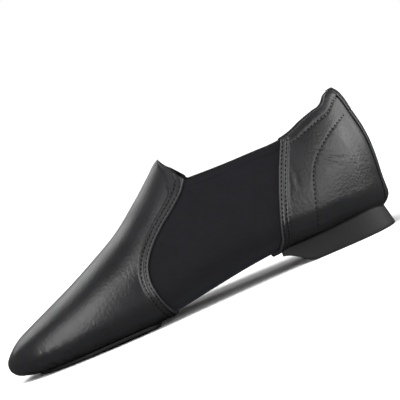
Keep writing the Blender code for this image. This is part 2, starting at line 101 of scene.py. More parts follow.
quarterSeamRows = [
    (0.150, 1.00), (0.185, 0.80), (0.240, 0.68), (0.340, 0.60), (0.480, 0.51),
    (0.630, 0.40), (0.790, 0.25), (0.900, 0.12), (0.990, 0.00),
]
backRows = [  # share of the collar's height, share of the lean
    (0.20, 0.36), (0.38, 0.30), (0.55, 0.08), (0.68, 0.00), (0.82, 0.14),
    (0.98, 0.56), (1.12, 0.94), (1.16, 1.16), (1.20, 1.62), (1.45, 4.50),
]


def curveThrough(rows, at, column=1, bend=None):
    # smooth curve through a table's rows, level at each highest or lowest one
    knots = np.array([row[0] for row in rows], float)
    values = np.array([row[column] for row in rows], float)
    at = np.asarray(at, float)
    if bend is not None:
        knots, at = bend(knots), bend(at)
    slopes = np.gradient(values, knots)
    rise = np.diff(values)
    slopes[1:-1][rise[:-1] * rise[1:] <= 0] = 0
    at = np.clip(at, knots[0], knots[-1])
    place = np.clip(np.searchsorted(knots, at, side="right") - 1, 0, len(knots) - 2)
    width = knots[place + 1] - knots[place]
    t = (at - knots[place]) / width
    return (
        (2 * t**3 - 3 * t**2 + 1) * values[place]
        + (t**3 - 2 * t**2 + t) * width * slopes[place]
        + (3 * t**2 - 2 * t**3) * values[place + 1]
        + (t**3 - t**2) * width * slopes[place + 1]
    )


def roundEnds(along):
    return np.arccos(1 - 2 * np.clip(along, 0, 1))


def section(name, along):
    return curveThrough(sectionRows, along, sectionNames.index(name), roundEnds)


def underside(along):
    lift = last["foreLift"] + section("lift", along) * (last["seatLift"] - last["foreLift"])
    return lift + section("spring", along) * last["toeSpring"]


def middleLine(along):
    return -section("swing", along) * last["swing"]


def lastPoint(along, row, side):
    # row: 0 middle of the underside, 1 end of its flat, 2 widest line, 3 instep ridge
    half = np.maximum(section("half", along), 0) * last["ballWidth"]
    low = underside(along)
    instep = last["instepHeight"] - underside(0.475)
    high = low + section("ridge", along) * instep
    wide = low + section("wide", along) * (high - low)
    flat = section("flat", along) * half
    turn = (np.clip(row, 1, 2) - 1) * math.pi / 2
    across = flat * np.clip(row, 0, 1) + (half - flat) * np.sin(turn)
    height = low + (wide - low) * (1 - np.cos(turn))
    crown = 2 / section("crown", along)
    turn = (np.clip(row, 2, 3) - 2) * math.pi / 2
    up = np.sin(turn) ** crown
    above = row > 2
    across = np.where(above, half * np.maximum(np.cos(turn), 0) ** crown, across)
    height = np.where(above, wide + (high - wide) * up, height)
    shift = np.where(above, last["ridgeShift"] * up**2 * section("half", along) * 2, 0)
    lean = curveThrough(backRows, height / last["collarHeight"]) * last["backLean"]
    x = along * last["length"] + lean * (1 - along) ** last["leanFade"]
    return np.stack([x, side * across + middleLine(along) + shift, height], axis=-1)


def vampSeam(height):
    share = curveThrough(vampSeamRows, height / last["collarHeight"])
    return last["corner"] + share * last["vampReach"]


def quarterSeam(height):
    share = curveThrough(quarterSeamRows, height / last["collarHeight"])
    return last["quarterTop"] + share * (last["quarterFoot"] - last["quarterTop"])


seamLevel = 0.37  # where the seams' places are read, as a share of the collar's height
vampLine = float(vampSeam(seamLevel * last["collarHeight"]))
quarterLine = float(quarterSeam(seamLevel * last["collarHeight"]))


def crossLines(place, row, side):
    # lines round the foot that take the shape of each seam as they come near it
    toVamp = np.interp(place, (quarterLine, vampLine, last["length"]), (0, 1, 0))
    toQuarter = np.interp(place, (12.0, quarterLine, vampLine), (0, 1, 0))
    along = place / last["length"] + 0 * row
    for _ in range(40):
        height = lastPoint(along, row, side)[..., 2]
        x = place + toVamp * (vampSeam(height) - vampLine)
        x = x + toQuarter * (quarterSeam(height) - quarterLine)
        moved = np.clip(x / last["length"], 0, 1)
        settled = np.abs(moved - along).max() < 1e-5
        along = moved
        if settled:
            break
    return lastPoint(along, row, side)


def toplineHeight(x):
    height = last["collarHeight"] * curveThrough(toplineRows, x / last["corner"])
    corner = last["collarHeight"] * toplineRows[-1][1]
    rise = (last["instepHeight"] - corner) * (x - last["corner"]) / last["cornerSetback"]
    return np.where(x > last["corner"], corner + rise, height)


def alongPolyline(points, count):
    step = np.linalg.norm(np.diff(points, axis=0), axis=1)
    run = np.concatenate([[0], np.cumsum(step)])
    at = np.linspace(0, run[-1], count)
    return np.stack([np.interp(at, run, points[:, k]) for k in range(3)], axis=1), run[-1]


# The chart: place runs from the back (0) to the toe (240), and round goes from the
# outer topline (-1) by the middle of the underside (0) to the inner topline (1).
chart = {"places": 250, "round": 200}


def drawChart():
    ends = last["length"] * (1 - np.cos(np.linspace(0, math.pi, chart["places"]))) / 2
    ridge = crossLines(ends[:, None], np.array([3.0]), 1)[:, 0, 0]
    ahead = ends > vampLine
    peak = float(np.interp(last["openingLength"], ridge[ahead], ends[ahead]))
    places = np.unique(np.concatenate([ends, [peak, vampLine, quarterLine]]))
    rows = np.concatenate([np.linspace(0, 2, 90), np.linspace(2, 3, 260)[1:]])
    count = chart["round"] + 1
    points = np.zeros((len(places), 2 * chart["round"] + 1, 3))
    girth = np.zeros((len(places), 2))
    for n, side in enumerate((-1, 1)):
        lines = crossLines(places[:, None], rows[None, :], side)
        for i, line in enumerate(lines):
            if places[i] < peak - 1e-6:
                over = line[:, 2] - toplineHeight(line[:, 0])
                over[rows < 2] = -1
                first = int(np.argmax(over >= 0))
                share = over[first - 1] / (over[first - 1] - over[first])
                end = line[first - 1] + share * (line[first] - line[first - 1])
                line = np.vstack([line[:first], end])
            even, girth[i, n] = alongPolyline(line, count)
            if side > 0:
                points[i, chart["round"]:] = even
            else:
                points[i, : count] = even[::-1]
    around = np.gradient(points, axis=1)
    forward = np.gradient(points, places, axis=0)
    normal = np.cross(around, forward)
    size = np.linalg.norm(normal, axis=2, keepdims=True)
    normal = normal / np.maximum(size, 1e-9)
    closed = places >= peak
    both = normal[closed, 0] + normal[closed, -1]
    both = both / np.maximum(np.linalg.norm(both, axis=1, keepdims=True), 1e-9)
    normal[closed, 0] = normal[closed, -1] = both
    tip = normal[-2].mean(axis=0)
    normal[-1] = tip / np.linalg.norm(tip)
    heel = normal[1] + normal[1, ::-1]
    normal[0] = heel / np.linalg.norm(heel, axis=1, keepdims=True)
    return places, points, normal, girth, peak


chartPlaces, chartPoints, chartNormals, chartGirth, peakPlace = drawChart()
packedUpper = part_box("upper")
toOrigin = np.array([
    packedUpper[0].x / mm - chartPoints[..., 0].min(),
    packedUpper[0].y / mm - chartPoints[..., 1].min(),
    0,
])
print("last drawn, moved by", np.round(toOrigin, 3), "mm")


def fromChart(grid, place, round_):
    i = np.interp(place, chartPlaces, np.arange(len(chartPlaces)))
    j = (np.clip(round_, -1, 1) + 1) * chart["round"]
    i, j = np.broadcast_arrays(i, j)
    i0 = np.clip(np.floor(i).astype(int), 0, grid.shape[0] - 2)
    j0 = np.clip(np.floor(j).astype(int), 0, grid.shape[1] - 2)
    a, b = (i - i0)[..., None], (j - j0)[..., None]
    return (
        grid[i0, j0] * (1 - a) * (1 - b)
        + grid[i0 + 1, j0] * a * (1 - b)
        + grid[i0, j0 + 1] * (1 - a) * b
        + grid[i0 + 1, j0 + 1] * a * b
    )


def onLast(place, round_, lift=0.0):
    # points in mm, in the shoe's own frame, some mm above the stretch boot
    point = fromChart(chartPoints, place, round_) + toOrigin
    normal = normalAt(place, round_)
    return point + normal * np.asarray(lift, float)[..., None]


def normalAt(place, round_):
    normal = fromChart(chartNormals, place, round_)
    return normal / np.linalg.norm(normal, axis=-1, keepdims=True)


def girthAt(place, round_):
    outer = np.interp(place, chartPlaces, chartGirth[:, 0])
    inner = np.interp(place, chartPlaces, chartGirth[:, 1])
    return np.where(np.asarray(round_) < 0, outer, inner)


def placeBeside(place, round_, distance):
    # the place that lies some mm in front of a cross line, or behind it
    step = 0.4 * np.sign(distance)
    left = abs(distance)
    place = np.asarray(place, float) + 0 * np.asarray(round_)
    while left > 1e-6:
        ahead = onLast(place + step * 0.5, round_)
        here = onLast(place, round_)
        beside = onLast(place, np.clip(round_ + 0.01, -1, 1)) - onLast(
            place, np.clip(round_ - 0.01, -1, 1)
        )
        beside = beside / np.linalg.norm(beside, axis=-1, keepdims=True)
        go = (ahead - here) / 0.5
        square = go - beside * (go * beside).sum(axis=-1, keepdims=True)
        pace = np.linalg.norm(square, axis=-1) / 0.4
        part = min(left, 0.4)
        place = place + np.sign(distance) * part / np.maximum(pace, 0.2)
        left -= part
    return place


def softStep(value, low, high):
    t = np.clip((np.asarray(value, float) - low) / (high - low), 0, 1)
    return t * t * (3 - 2 * t)


def hump(value, width):
    return np.exp(-((np.asarray(value, float) / width) ** 2))


def distanceTo(points, path, width=3):
    flat = points.reshape(-1, width)
    near = np.empty(len(flat))
    for first in range(0, len(flat), 4000):
        gap = flat[first : first + 4000, None] - path[None]
        near[first : first + 4000] = np.sqrt((gap**2).sum(axis=2).min(axis=1))
    return near.reshape(points.shape[:-1])


def finishPiece(piece, name, material, replaces=()):
    piece.name = name
    piece.data.name = name
    piece.data.materials.clear()
    piece.data.materials.append(material)
    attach(piece, "root")
    if replaces:
        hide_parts(*replaces)
    return piece


def layGrid(points, inner=None, uv=None, wearAndEdgeHighlight=None):
    # a grid primitive with each of its points carried to its place on the shoe. With
    # inner points it gets a second side and a closed rim.
    rows, columns = points.shape[:2]
    bpy.ops.object.select_all(action="DESELECT")
    bpy.ops.mesh.primitive_grid_add(
        x_subdivisions=rows - 1, y_subdivisions=columns - 1, size=1
    )
    piece = bpy.context.object
    flat = np.zeros(len(piece.data.vertices) * 3)
    piece.data.vertices.foreach_get("co", flat)
    flat = flat.reshape(-1, 3) + 0.5
    i = np.rint(flat[:, 0] * (rows - 1)).astype(int)
    j = np.rint(flat[:, 1] * (columns - 1)).astype(int)
    piece.data.vertices.foreach_set("co", (points[i, j] * mm).ravel())
    if uv is not None:
        corner = np.zeros(len(piece.data.loops), int)
        piece.data.loops.foreach_get("vertex_index", corner)
        at = uv[i[corner], j[corner]] * mm
        piece.data.uv_layers[0].data.foreach_set("uv", at.ravel())
    work = bmesh.new()
    work.from_mesh(piece.data)
    number = work.verts.layers.int.new("number")
    for vert, k in zip(work.verts, (i * columns + j).tolist()):
        vert[number] = k
    bmesh.ops.remove_doubles(work, verts=work.verts, dist=2e-6)
    if inner is not None:
        flatInner = (inner.reshape(-1, 3) * mm).tolist()
        outerFaces = list(work.faces)
        outerVerts = list(work.verts)
        work.verts.index_update()
        rim = [edge.link_loops[0] for edge in work.edges if edge.is_boundary]
        rim = [(loop.vert.index, loop.link_loop_next.vert.index) for loop in rim]
        made = bmesh.ops.duplicate(work, geom=outerVerts + list(work.edges) + outerFaces)
        twin = made["vert_map"]
        twins = [twin[vert] for vert in outerVerts]
        for vert in twins:
            vert.co = flatInner[vert[number]]
        for a, b in rim:
            work.faces.new((outerVerts[a], outerVerts[b], twins[b], twins[a]))
        bmesh.ops.reverse_faces(work, faces=outerFaces)
    if wearAndEdgeHighlight is None:
        work.verts.layers.int.remove(number)
    work.to_mesh(piece.data)
    work.free()
    # strength of the painted edge highlight, kept as a mesh attribute
    if wearAndEdgeHighlight is not None:
        paintEdgeHighlight(piece, wearAndEdgeHighlight)
    piece.data.shade_smooth()
    return piece


def paintEdgeHighlight(piece, grid):
    # painted highlight along the leather's turned edges: its strength, from 0 to 1, at each point of a laid
    # grid
    mark = piece.data.attributes.new("wearAndEdgeHighlight", "FLOAT", "POINT")
    number = np.zeros(len(piece.data.vertices), int)
    piece.data.attributes["number"].data.foreach_get("value", number)
    mark.data.foreach_set("value", grid.ravel()[number])
    piece.data.attributes.remove(piece.data.attributes["number"])


def closeUp(piece):
    # faces outwards on a closed piece
    work = bmesh.new()
    work.from_mesh(piece.data)
    bmesh.ops.recalc_face_normals(work, faces=work.faces)
    work.to_mesh(piece.data)
    work.free()


def copiesOf(template, name, places):
    # one mesh of many copies: each place is a 3x3 turn in columns and a point, in mm
    count = len(template.data.vertices)
    shape = np.zeros(count * 3)
    template.data.vertices.foreach_get("co", shape)
    shape = shape.reshape(-1, 3)
    faces = [tuple(face.vertices) for face in template.data.polygons]
    points, allFaces = [], []
    for k, (turn, at) in enumerate(places):
        points.append(shape @ turn.T + at * mm)
        allFaces += [tuple(c + k * count for c in face) for face in faces]
    mesh = bpy.data.meshes.new(name)
    mesh.from_pydata(np.vstack(points).tolist(), [], allFaces)
    mesh.shade_smooth()
    piece = bpy.data.objects.new(name, mesh)
    bpy.context.collection.objects.link(piece)
    return piece


def besideSeam(seamPlace, ahead):
    # for every share round the foot, the places at each distance from a seam
    rounds = np.linspace(-1, 1, 161)
    distances = np.arange(0, 14.01, 0.25)
    places = [np.full_like(rounds, seamPlace)]
    for step in np.diff(distances):
        places.append(placeBeside(places[-1], rounds, ahead * step))
        places[-1] = (places[-1] + places[-1][::-1]) / 2  # both sides meet on the ridge
    return {"ahead": ahead, "distances": distances, "places": np.array(places)}


def seamColumns(seam, round_):
    places = seam["places"]
    j = (np.clip(round_, -1, 1) + 1) / 2 * (places.shape[1] - 1)
    j0 = np.clip(np.floor(j).astype(int), 0, places.shape[1] - 2)
    b = j - j0
    return places[:, j0] * (1 - b) + places[:, j0 + 1] * b


def fromSeam(seam, place, round_):
    place, round_ = np.broadcast_arrays(np.asarray(place, float), round_)
    columns = seamColumns(seam, round_.ravel())
    gone = (place.ravel() - columns) * seam["ahead"]
    k = np.clip((gone >= 0).sum(axis=0) - 1, 0, len(columns) - 2)
    n = np.arange(columns.shape[1])
    width = (columns[k + 1, n] - columns[k, n]) * seam["ahead"]
    step = seam["distances"][1]
    return ((k + gone[k, n] / width) * step).reshape(place.shape)


def atSeam(seam, distance, round_):
    # place at a distance from the seam
    round_ = np.asarray(round_, float)
    columns = seamColumns(seam, round_.ravel())
    k = distance / seam["distances"][1]
    k0 = int(min(k, len(columns) - 2))
    place = columns[k0] + (columns[k0 + 1] - columns[k0]) * (k - k0)
    return place.reshape(round_.shape)


vampEdge = besideSeam(vampLine, 1)
quarterEdge = besideSeam(quarterLine, -1)

# heights above the last, in mm: the leather's face, and what is laid over it
leatherFace = 1.3
overLeather = 1.6


def fromTopline(place, round_):
    away = (1 - np.abs(round_)) * girthAt(place, round_)
    closed = np.asarray(place, float) - peakPlace
    return np.where(closed > 0, np.hypot(away, closed), away)


def edgeRound(distance, radius, least):
    # share of a sheet's thickness beside its rounded edge
    t = 1 - np.clip(distance / radius, 0, 1)
    return np.maximum(np.sqrt(np.maximum(1 - t * t, 0)), least)


def bothWays(shares):
    shares = np.asarray(shares, float)
    return np.concatenate([-shares[::-1], shares[1:] if shares[0] == 0 else shares])


def roundShares(count, fine):
    # columns round the foot, closer together below the topline
    plain = np.linspace(0, 1 - fine[0], count)
    return bothWays(np.concatenate([plain, 1 - np.array(fine[1:]), [1]]))


edgeShares = (0.055, 0.047, 0.040, 0.034, 0.028, 0.023, 0.018, 0.013, 0.009, 0.0055, 0.0028, 0.0010)


def findOnLast(wanted, axes, place, round_, lift):
    # the place on the last that shows at two given coordinates, seen along the third
    place = np.array(place, float)
    round_ = np.array(round_, float)
    for _ in range(14):
        here = onLast(place, round_, lift)[..., axes]
        onward = (onLast(place + 0.1, round_, lift)[..., axes] - here) / 0.1
        around = (onLast(place, round_ + 0.001, lift)[..., axes] - here) / 0.001
        miss = wanted - here
        size = onward[..., 0] * around[..., 1] - onward[..., 1] * around[..., 0]
        size = np.where(np.abs(size) < 1e-6, 1e-6, size)
        goPlace = (miss[..., 0] * around[..., 1] - miss[..., 1] * around[..., 0]) / size
        goRound = (onward[..., 0] * miss[..., 1] - onward[..., 1] * miss[..., 0]) / size
        place = np.clip(place + np.clip(goPlace, -4, 4), 0, last["length"])
        round_ = np.clip(round_ + np.clip(goRound, -0.05, 0.05), -1, 1)
    return place, round_


def onSide(path, side, count=120):
    # a line drawn on the side view, in mm from the back and above the floor
    path = np.array(path, float)
    knots = np.linspace(0, 1, len(path))
    at = np.linspace(0, 1, count)
    dense = np.stack([curveThrough(np.column_stack([knots, path[:, k]]), at) for k in (0, 1)], axis=1)
    wanted = dense + toOrigin[[0, 2]]
    rounds = np.linspace(0.12, 1, 60) * side
    places = np.linspace(0.3, last["length"] - 0.3, 160)
    sample = onLast(places[:, None], rounds[None, :], leatherFace)[..., [0, 2]]
    gap = ((sample[None] - wanted[:, None, None]) ** 2).sum(axis=3).reshape(count, -1)
    best = gap.argmin(axis=1)
    place, round_ = places[best // 60], rounds[best % 60]
    return findOnLast(wanted, [0, 2], place, round_, leatherFace)


def underFoot(x, y, lift):
    # x from the back and y from the shoe's middle plane, in mm
    wanted = np.stack([x + toOrigin[0], y + toOrigin[1]], axis=-1)
    guess = (y - middleLine(x / last["length"])) / 130
    return findOnLast(wanted, [0, 1], np.array(x, float), guess, lift)


def middlePlace(x):
    # place of points along the middle of the underside
    x = np.asarray(x, float)
    return underFoot(x, middleLine(x / last["length"]), leatherFace)[0]


def pathFrames(place, round_, lift, pitch, start=0.5):
    # evenly spaced points of a line on the shoe, each with its own directions
    points = onLast(place, round_, lift)
    normals = normalAt(place, round_)
    step = np.linalg.norm(np.diff(points, axis=0), axis=1)
    run = np.concatenate([[0], np.cumsum(step)])
    count = max(int(run[-1] / pitch), 1)
    at = (np.arange(count) + start) * run[-1] / count
    point = np.stack([np.interp(at, run, points[:, k]) for k in range(3)], axis=1)
    before = np.stack([np.interp(at - 0.4, run, points[:, k]) for k in range(3)], axis=1)
    after = np.stack([np.interp(at + 0.4, run, points[:, k]) for k in range(3)], axis=1)
    normal = np.stack([np.interp(at, run, normals[:, k]) for k in range(3)], axis=1)
    along = after - before
    along /= np.linalg.norm(along, axis=1, keepdims=True)
    normal -= along * (normal * along).sum(axis=1, keepdims=True)
    normal /= np.linalg.norm(normal, axis=1, keepdims=True)
    across = np.cross(normal, along)
    return [(np.stack([a, b, c], axis=1), p) for a, b, c, p in zip(along, across, normal, point)]


# One stitch of bonded thread: a small spindle with both ends pulled into the leather.
stitch = {"length": 1.85, "width": 1.0, "height": 0.6, "pitch": 2.5}


def makeStitch(length, width, height):
    bpy.ops.object.select_all(action="DESELECT")
    bpy.ops.mesh.primitive_uv_sphere_add(segments=8, ring_count=6, radius=0.5)
    spindle = bpy.context.object
    for vert in spindle.data.vertices:
        x, y, z = vert.co
        x, z = z, -x
        sink = (2 * abs(x)) ** 3 * 0.55
        vert.co = (x * length * mm, y * width * mm, (z * height - sink * height) * mm)
    spindle.data.shade_smooth()
    return spindle


def sew(name, frames, material, size=None):
    size = size or stitch
    one = makeStitch(size["length"], size["width"], size["height"])
    row = copiesOf(one, name, frames)
    bpy.data.objects.remove(one)
    return finishPiece(row, name, material)


def toLinear(hexColour):
    channels = [int(hexColour[k : k + 2], 16) / 255 for k in (1, 3, 5)]
    return tuple(c / 12.92 if c <= 0.04045 else ((c + 0.055) / 1.055) ** 2.4 for c in channels) + (1,)


def addNode(tree, kind, values=None, links=None, **settings):
    node = tree.nodes.new(kind)
    for key, value in settings.items():
        setattr(node, key, value)
    for key, value in (values or {}).items():
        node.inputs[key].default_value = value
    for key, socket in (links or {}).items():
        tree.links.new(socket, node.inputs[key])
    return node


def newMaterial(name):
    material = bpy.data.materials.new(name)
    material.use_nodes = True
    tree = material.node_tree
    return material, tree, tree.nodes["Principled BSDF"]


# Cow leather with a printed fine grain and a black pigmented finish, polished: soft
# windows of light, with the grain only just showing in them and hairline creases
# across the foot.
# Its edge colour is a painted highlight along the turned edges; its second colour is a lighter tone in
# random patches.
leatherLook = {
    "colour": "#111112", "wearAndEdgeHighlight": "#1b1b1d", "edge": "#2c2c2e", "roughness": 0.35, "spread": 0.14,
    "grain": 1.4, "crease": 1.8, "grainDepth": 0.15, "creaseDepth": 0.07,
}


def polishedLeather(name, look, creaseAxis=(1, 0.4, 0.4)):
    material, tree, shader = newMaterial(name)
    place = addNode(tree, "ShaderNodeTexCoord")
    grain = addNode(
        tree, "ShaderNodeTexVoronoi", {"Scale": 1000 / look["grain"], "Randomness": 1.0},
        {"Vector": place.outputs["Object"]}, feature="SMOOTH_F1",
    )
    long = addNode(
        tree, "ShaderNodeMapping", {"Scale": creaseAxis}, {"Vector": place.outputs["Object"]}
    )
    crease = addNode(
        tree, "ShaderNodeTexNoise",
        {"Scale": 1000 / look["crease"], "Detail": 2.0, "Roughness": 0.55, "Distortion": 0.3},
        {"Vector": long.outputs["Vector"]},
    )
    patches = addNode(
        tree, "ShaderNodeTexNoise", {"Scale": 1000 / 22, "Detail": 3.0, "Roughness": 0.6},
        {"Vector": place.outputs["Object"]},
    )
    tone = addNode(
        tree, "ShaderNodeMix", {"A": toLinear(look["colour"]), "B": toLinear(look["wearAndEdgeHighlight"])},
        {"Factor": patches.outputs["Fac"]}, data_type="RGBA",
    )
    # painted highlight: the edge colour laid along the turned edges through a mesh attribute
    wearAndEdgeHighlight = addNode(tree, "ShaderNodeAttribute", attribute_name="wearAndEdgeHighlight")
    edgeHighlightTone = addNode(
        tree, "ShaderNodeMix", {"B": toLinear(look["edge"])},
        {"Factor": wearAndEdgeHighlight.outputs["Fac"], "A": tone.outputs["Result"]}, data_type="RGBA",
    )
    tree.links.new(edgeHighlightTone.outputs["Result"], shader.inputs["Base Color"])
    gloss = addNode(
        tree, "ShaderNodeMapRange",
        {"From Min": 0.3, "From Max": 0.7, "To Min": look["roughness"] - look["spread"] / 2,
         "To Max": look["roughness"] + look["spread"] / 2},
        {"Value": patches.outputs["Fac"]},
    )
    tree.links.new(gloss.outputs["Result"], shader.inputs["Roughness"])
    low = addNode(
        tree, "ShaderNodeBump", {"Strength": 0.6, "Distance": look["grainDepth"] * mm},
        {"Height": grain.outputs["Distance"]}, invert=True,
    )
    both = addNode(
        tree, "ShaderNodeBump", {"Strength": 0.6, "Distance": look["creaseDepth"] * mm * 2},
        {"Height": crease.outputs["Fac"], "Normal": low.outputs["Normal"]},
    )
    tree.links.new(both.outputs["Normal"], shader.inputs["Normal"])
    shader.inputs["IOR"].default_value = 1.5
    shader.inputs["Specular IOR Level"].default_value = 0.5
    return material


def waveScale(width):
    # a wave texture's scale for bands this wide, in mm, which repeat every two widths
    return 1000 / width / 20 * math.pi


# Thin neoprene faced with a plain-knit nylon jersey, dyed blue-black: matt, with a
# faint sheen where it turns away. The knit's wales, about 0.5 mm apart on the cloth,
# are drawn 0.9 mm wide and 1.8 mm apart, so that they show in the render.
stretchLook = {"colour": "#08080b", "light": "#0f0f13", "wale": 0.9, "course": 0.8, "depth": 0.05}


def knitStretch(name, look):
    material, tree, shader = newMaterial(name)
    weave = addNode(tree, "ShaderNodeUVMap")
    wale = addNode(
        tree, "ShaderNodeTexWave",
        {"Scale": waveScale(look["wale"]), "Distortion": 0.6, "Detail": 1.0, "Detail Scale": 2.0},
        {"Vector": weave.outputs["UV"]}, wave_type="BANDS", bands_direction="Y",
    )
    course = addNode(
        tree, "ShaderNodeTexWave",
        {"Scale": waveScale(look["course"]), "Distortion": 0.6, "Detail": 1.0, "Detail Scale": 2.0},
        {"Vector": weave.outputs["UV"]}, wave_type="BANDS", bands_direction="X",
    )
    knit = addNode(
        tree, "ShaderNodeMath", None, {0: wale.outputs["Fac"], 1: course.outputs["Fac"]},
        operation="MULTIPLY",
    )
    place = addNode(tree, "ShaderNodeTexCoord")
    cloud = addNode(
        tree, "ShaderNodeTexNoise", {"Scale": 1000 / 9, "Detail": 4.0, "Roughness": 0.6},
        {"Vector": place.outputs["Object"]},
    )
    tone = addNode(
        tree, "ShaderNodeMix", {"A": toLinear(look["colour"]), "B": toLinear(look["light"])},
        {"Factor": cloud.outputs["Fac"]}, data_type="RGBA",
    )
    tree.links.new(tone.outputs["Result"], shader.inputs["Base Color"])
    relief = addNode(
        tree, "ShaderNodeBump", {"Strength": 0.5, "Distance": look["depth"] * mm},
        {"Height": knit.outputs["Value"]},
    )
    tree.links.new(relief.outputs["Normal"], shader.inputs["Normal"])
    shader.inputs["Roughness"].default_value = 0.85
    shader.inputs["IOR"].default_value = 1.45
    shader.inputs["Specular IOR Level"].default_value = 0.25
    shader.inputs["Sheen Weight"].default_value = 0.20
    shader.inputs["Sheen Roughness"].default_value = 0.5
    shader.inputs["Sheen Tint"].default_value = toLinear("#70727f")
    return material


# Moulded black rubber: matt, a touch grey, with a fine mould texture.
rubberLook = {"colour": "#0c0c0c", "dust": "#141415", "grit": 0.9}


def mouldedRubber(name, look):
    material, tree, shader = newMaterial(name)
    place = addNode(tree, "ShaderNodeTexCoord")
    grit = addNode(
        tree, "ShaderNodeTexNoise",
        {"Scale": 1000 / look["grit"], "Detail": 2.0, "Roughness": 0.5},
        {"Vector": place.outputs["Object"]},
    )
    wear = addNode(
        tree, "ShaderNodeTexNoise", {"Scale": 1000 / 14, "Detail": 3.0, "Roughness": 0.6},
        {"Vector": place.outputs["Object"]},
    )
    tone = addNode(
        tree, "ShaderNodeMix", {"A": toLinear(look["colour"]), "B": toLinear(look["dust"])},
        {"Factor": wear.outputs["Fac"]}, data_type="RGBA",
    )
    tree.links.new(tone.outputs["Result"], shader.inputs["Base Color"])
    relief = addNode(
        tree, "ShaderNodeBump", {"Strength": 0.4, "Distance": 0.05 * mm},
        {"Height": grit.outputs["Fac"]},
    )
    tree.links.new(relief.outputs["Normal"], shader.inputs["Normal"])
    shader.inputs["Roughness"].default_value = 0.62
    shader.inputs["IOR"].default_value = 1.52
    shader.inputs["Specular IOR Level"].default_value = 0.35
    return material


# Bonded polyester thread, twisted: the twist runs across each stitch.
def twistedThread(name, dark, light, roughness):
    material, tree, shader = newMaterial(name)
    place = addNode(tree, "ShaderNodeTexCoord")
    twist = addNode(
        tree, "ShaderNodeTexWave", {"Scale": waveScale(0.6), "Distortion": 1.0},
        {"Vector": place.outputs["Object"]}, wave_type="BANDS", bands_direction="DIAGONAL",
    )
    tone = addNode(
        tree, "ShaderNodeMix", {"A": toLinear(dark), "B": toLinear(light)},
        {"Factor": twist.outputs["Fac"]}, data_type="RGBA",
    )
    tree.links.new(tone.outputs["Result"], shader.inputs["Base Color"])
    relief = addNode(
        tree, "ShaderNodeBump", {"Strength": 0.4, "Distance": 0.06 * mm},
        {"Height": twist.outputs["Fac"]},
    )
    tree.links.new(relief.outputs["Normal"], shader.inputs["Normal"])
    shader.inputs["Roughness"].default_value = roughness
    shader.inputs["Specular IOR Level"].default_value = 0.2
    return material


# Brushed cotton drill on the inside, woven on the slant.
def liningDrill(name, dark, light, thread):
    material, tree, shader = newMaterial(name)
    weave = addNode(tree, "ShaderNodeUVMap")
    drill = addNode(
        tree, "ShaderNodeTexWave", {"Scale": waveScale(thread), "Distortion": 0.4},
        {"Vector": weave.outputs["UV"]}, wave_type="BANDS", bands_direction="DIAGONAL",
    )
    tone = addNode(
        tree, "ShaderNodeMix", {"A": toLinear(dark), "B": toLinear(light)},
        {"Factor": drill.outputs["Fac"]}, data_type="RGBA",
    )
    tree.links.new(tone.outputs["Result"], shader.inputs["Base Color"])
    relief = addNode(
        tree, "ShaderNodeBump", {"Strength": 0.5, "Distance": 0.08 * mm},
        {"Height": drill.outputs["Fac"]},
    )
    tree.links.new(relief.outputs["Normal"], shader.inputs["Normal"])
    shader.inputs["Roughness"].default_value = 0.95
    shader.inputs["Specular IOR Level"].default_value = 0.2
    shader.inputs["Sheen Weight"].default_value = 0.3
    return material


blackLeather = polishedLeather("polished full-grain leather", leatherLook)
stretchKnit = knitStretch("neoprene faced with nylon knit", stretchLook)
soleRubber = mouldedRubber("moulded black rubber", rubberLook)
# The black thread is drawn darker than the leather: partly its own colour, partly painted shade standing in
# for the shaded needle holes.
blackThread = twistedThread("bonded polyester thread", "#030303", "#0a0a0b", 0.85)
greyThread = twistedThread("grey polyester thread", "#6f7073", "#a3a4a8", 0.6)
drillLining = liningDrill("brushed cotton drill", "#161617", "#222224", 0.9)
insoleCloth = liningDrill("insole of bonded fabric", "#1a1a1b", "#29292b", 1.1)
print("materials made")


def sideCreases(points, creases):
    # soft troughs with a low ridge along them, drawn on the side view in mm from the
    # back and above the floor, on the inner or the outer side
    flat = points.reshape(-1, 3) - toOrigin
    total = np.zeros(len(flat))
    for path, side, width, depth in creases:
        knots = np.array(path, float)
        t = np.linspace(0, 1, 50)
        grid = np.linspace(0, 1, len(knots))
        line = np.stack([np.interp(t, grid, knots[:, k]) for k in (0, 1)], axis=1)
        near = (flat[:, 1] * side > 0) & (
            np.abs(flat[:, 0] - knots[:, 0].mean()) < np.ptp(knots[:, 0]) + 6 * width + 5
        )
        spot = flat[near][:, [0, 2]]
        gap = np.sqrt(((spot[:, None] - line[None]) ** 2).sum(axis=2))
        best = gap.argmin(axis=1)
        distance = gap[np.arange(len(spot)), best]
        tangent = np.gradient(line, axis=0)[best]
        toward = spot - line[best]
        turn = np.sign(tangent[:, 0] * toward[:, 1] - tangent[:, 1] * toward[:, 0])
        taper = np.sin(math.pi * np.clip(t[best], 0, 1)) ** 0.8
        shape = -hump(distance, width) + 0.5 * hump(turn * distance - 1.7 * width, width)
        total[near] += depth * taper * shape
    return total.reshape(points.shape[:-1])


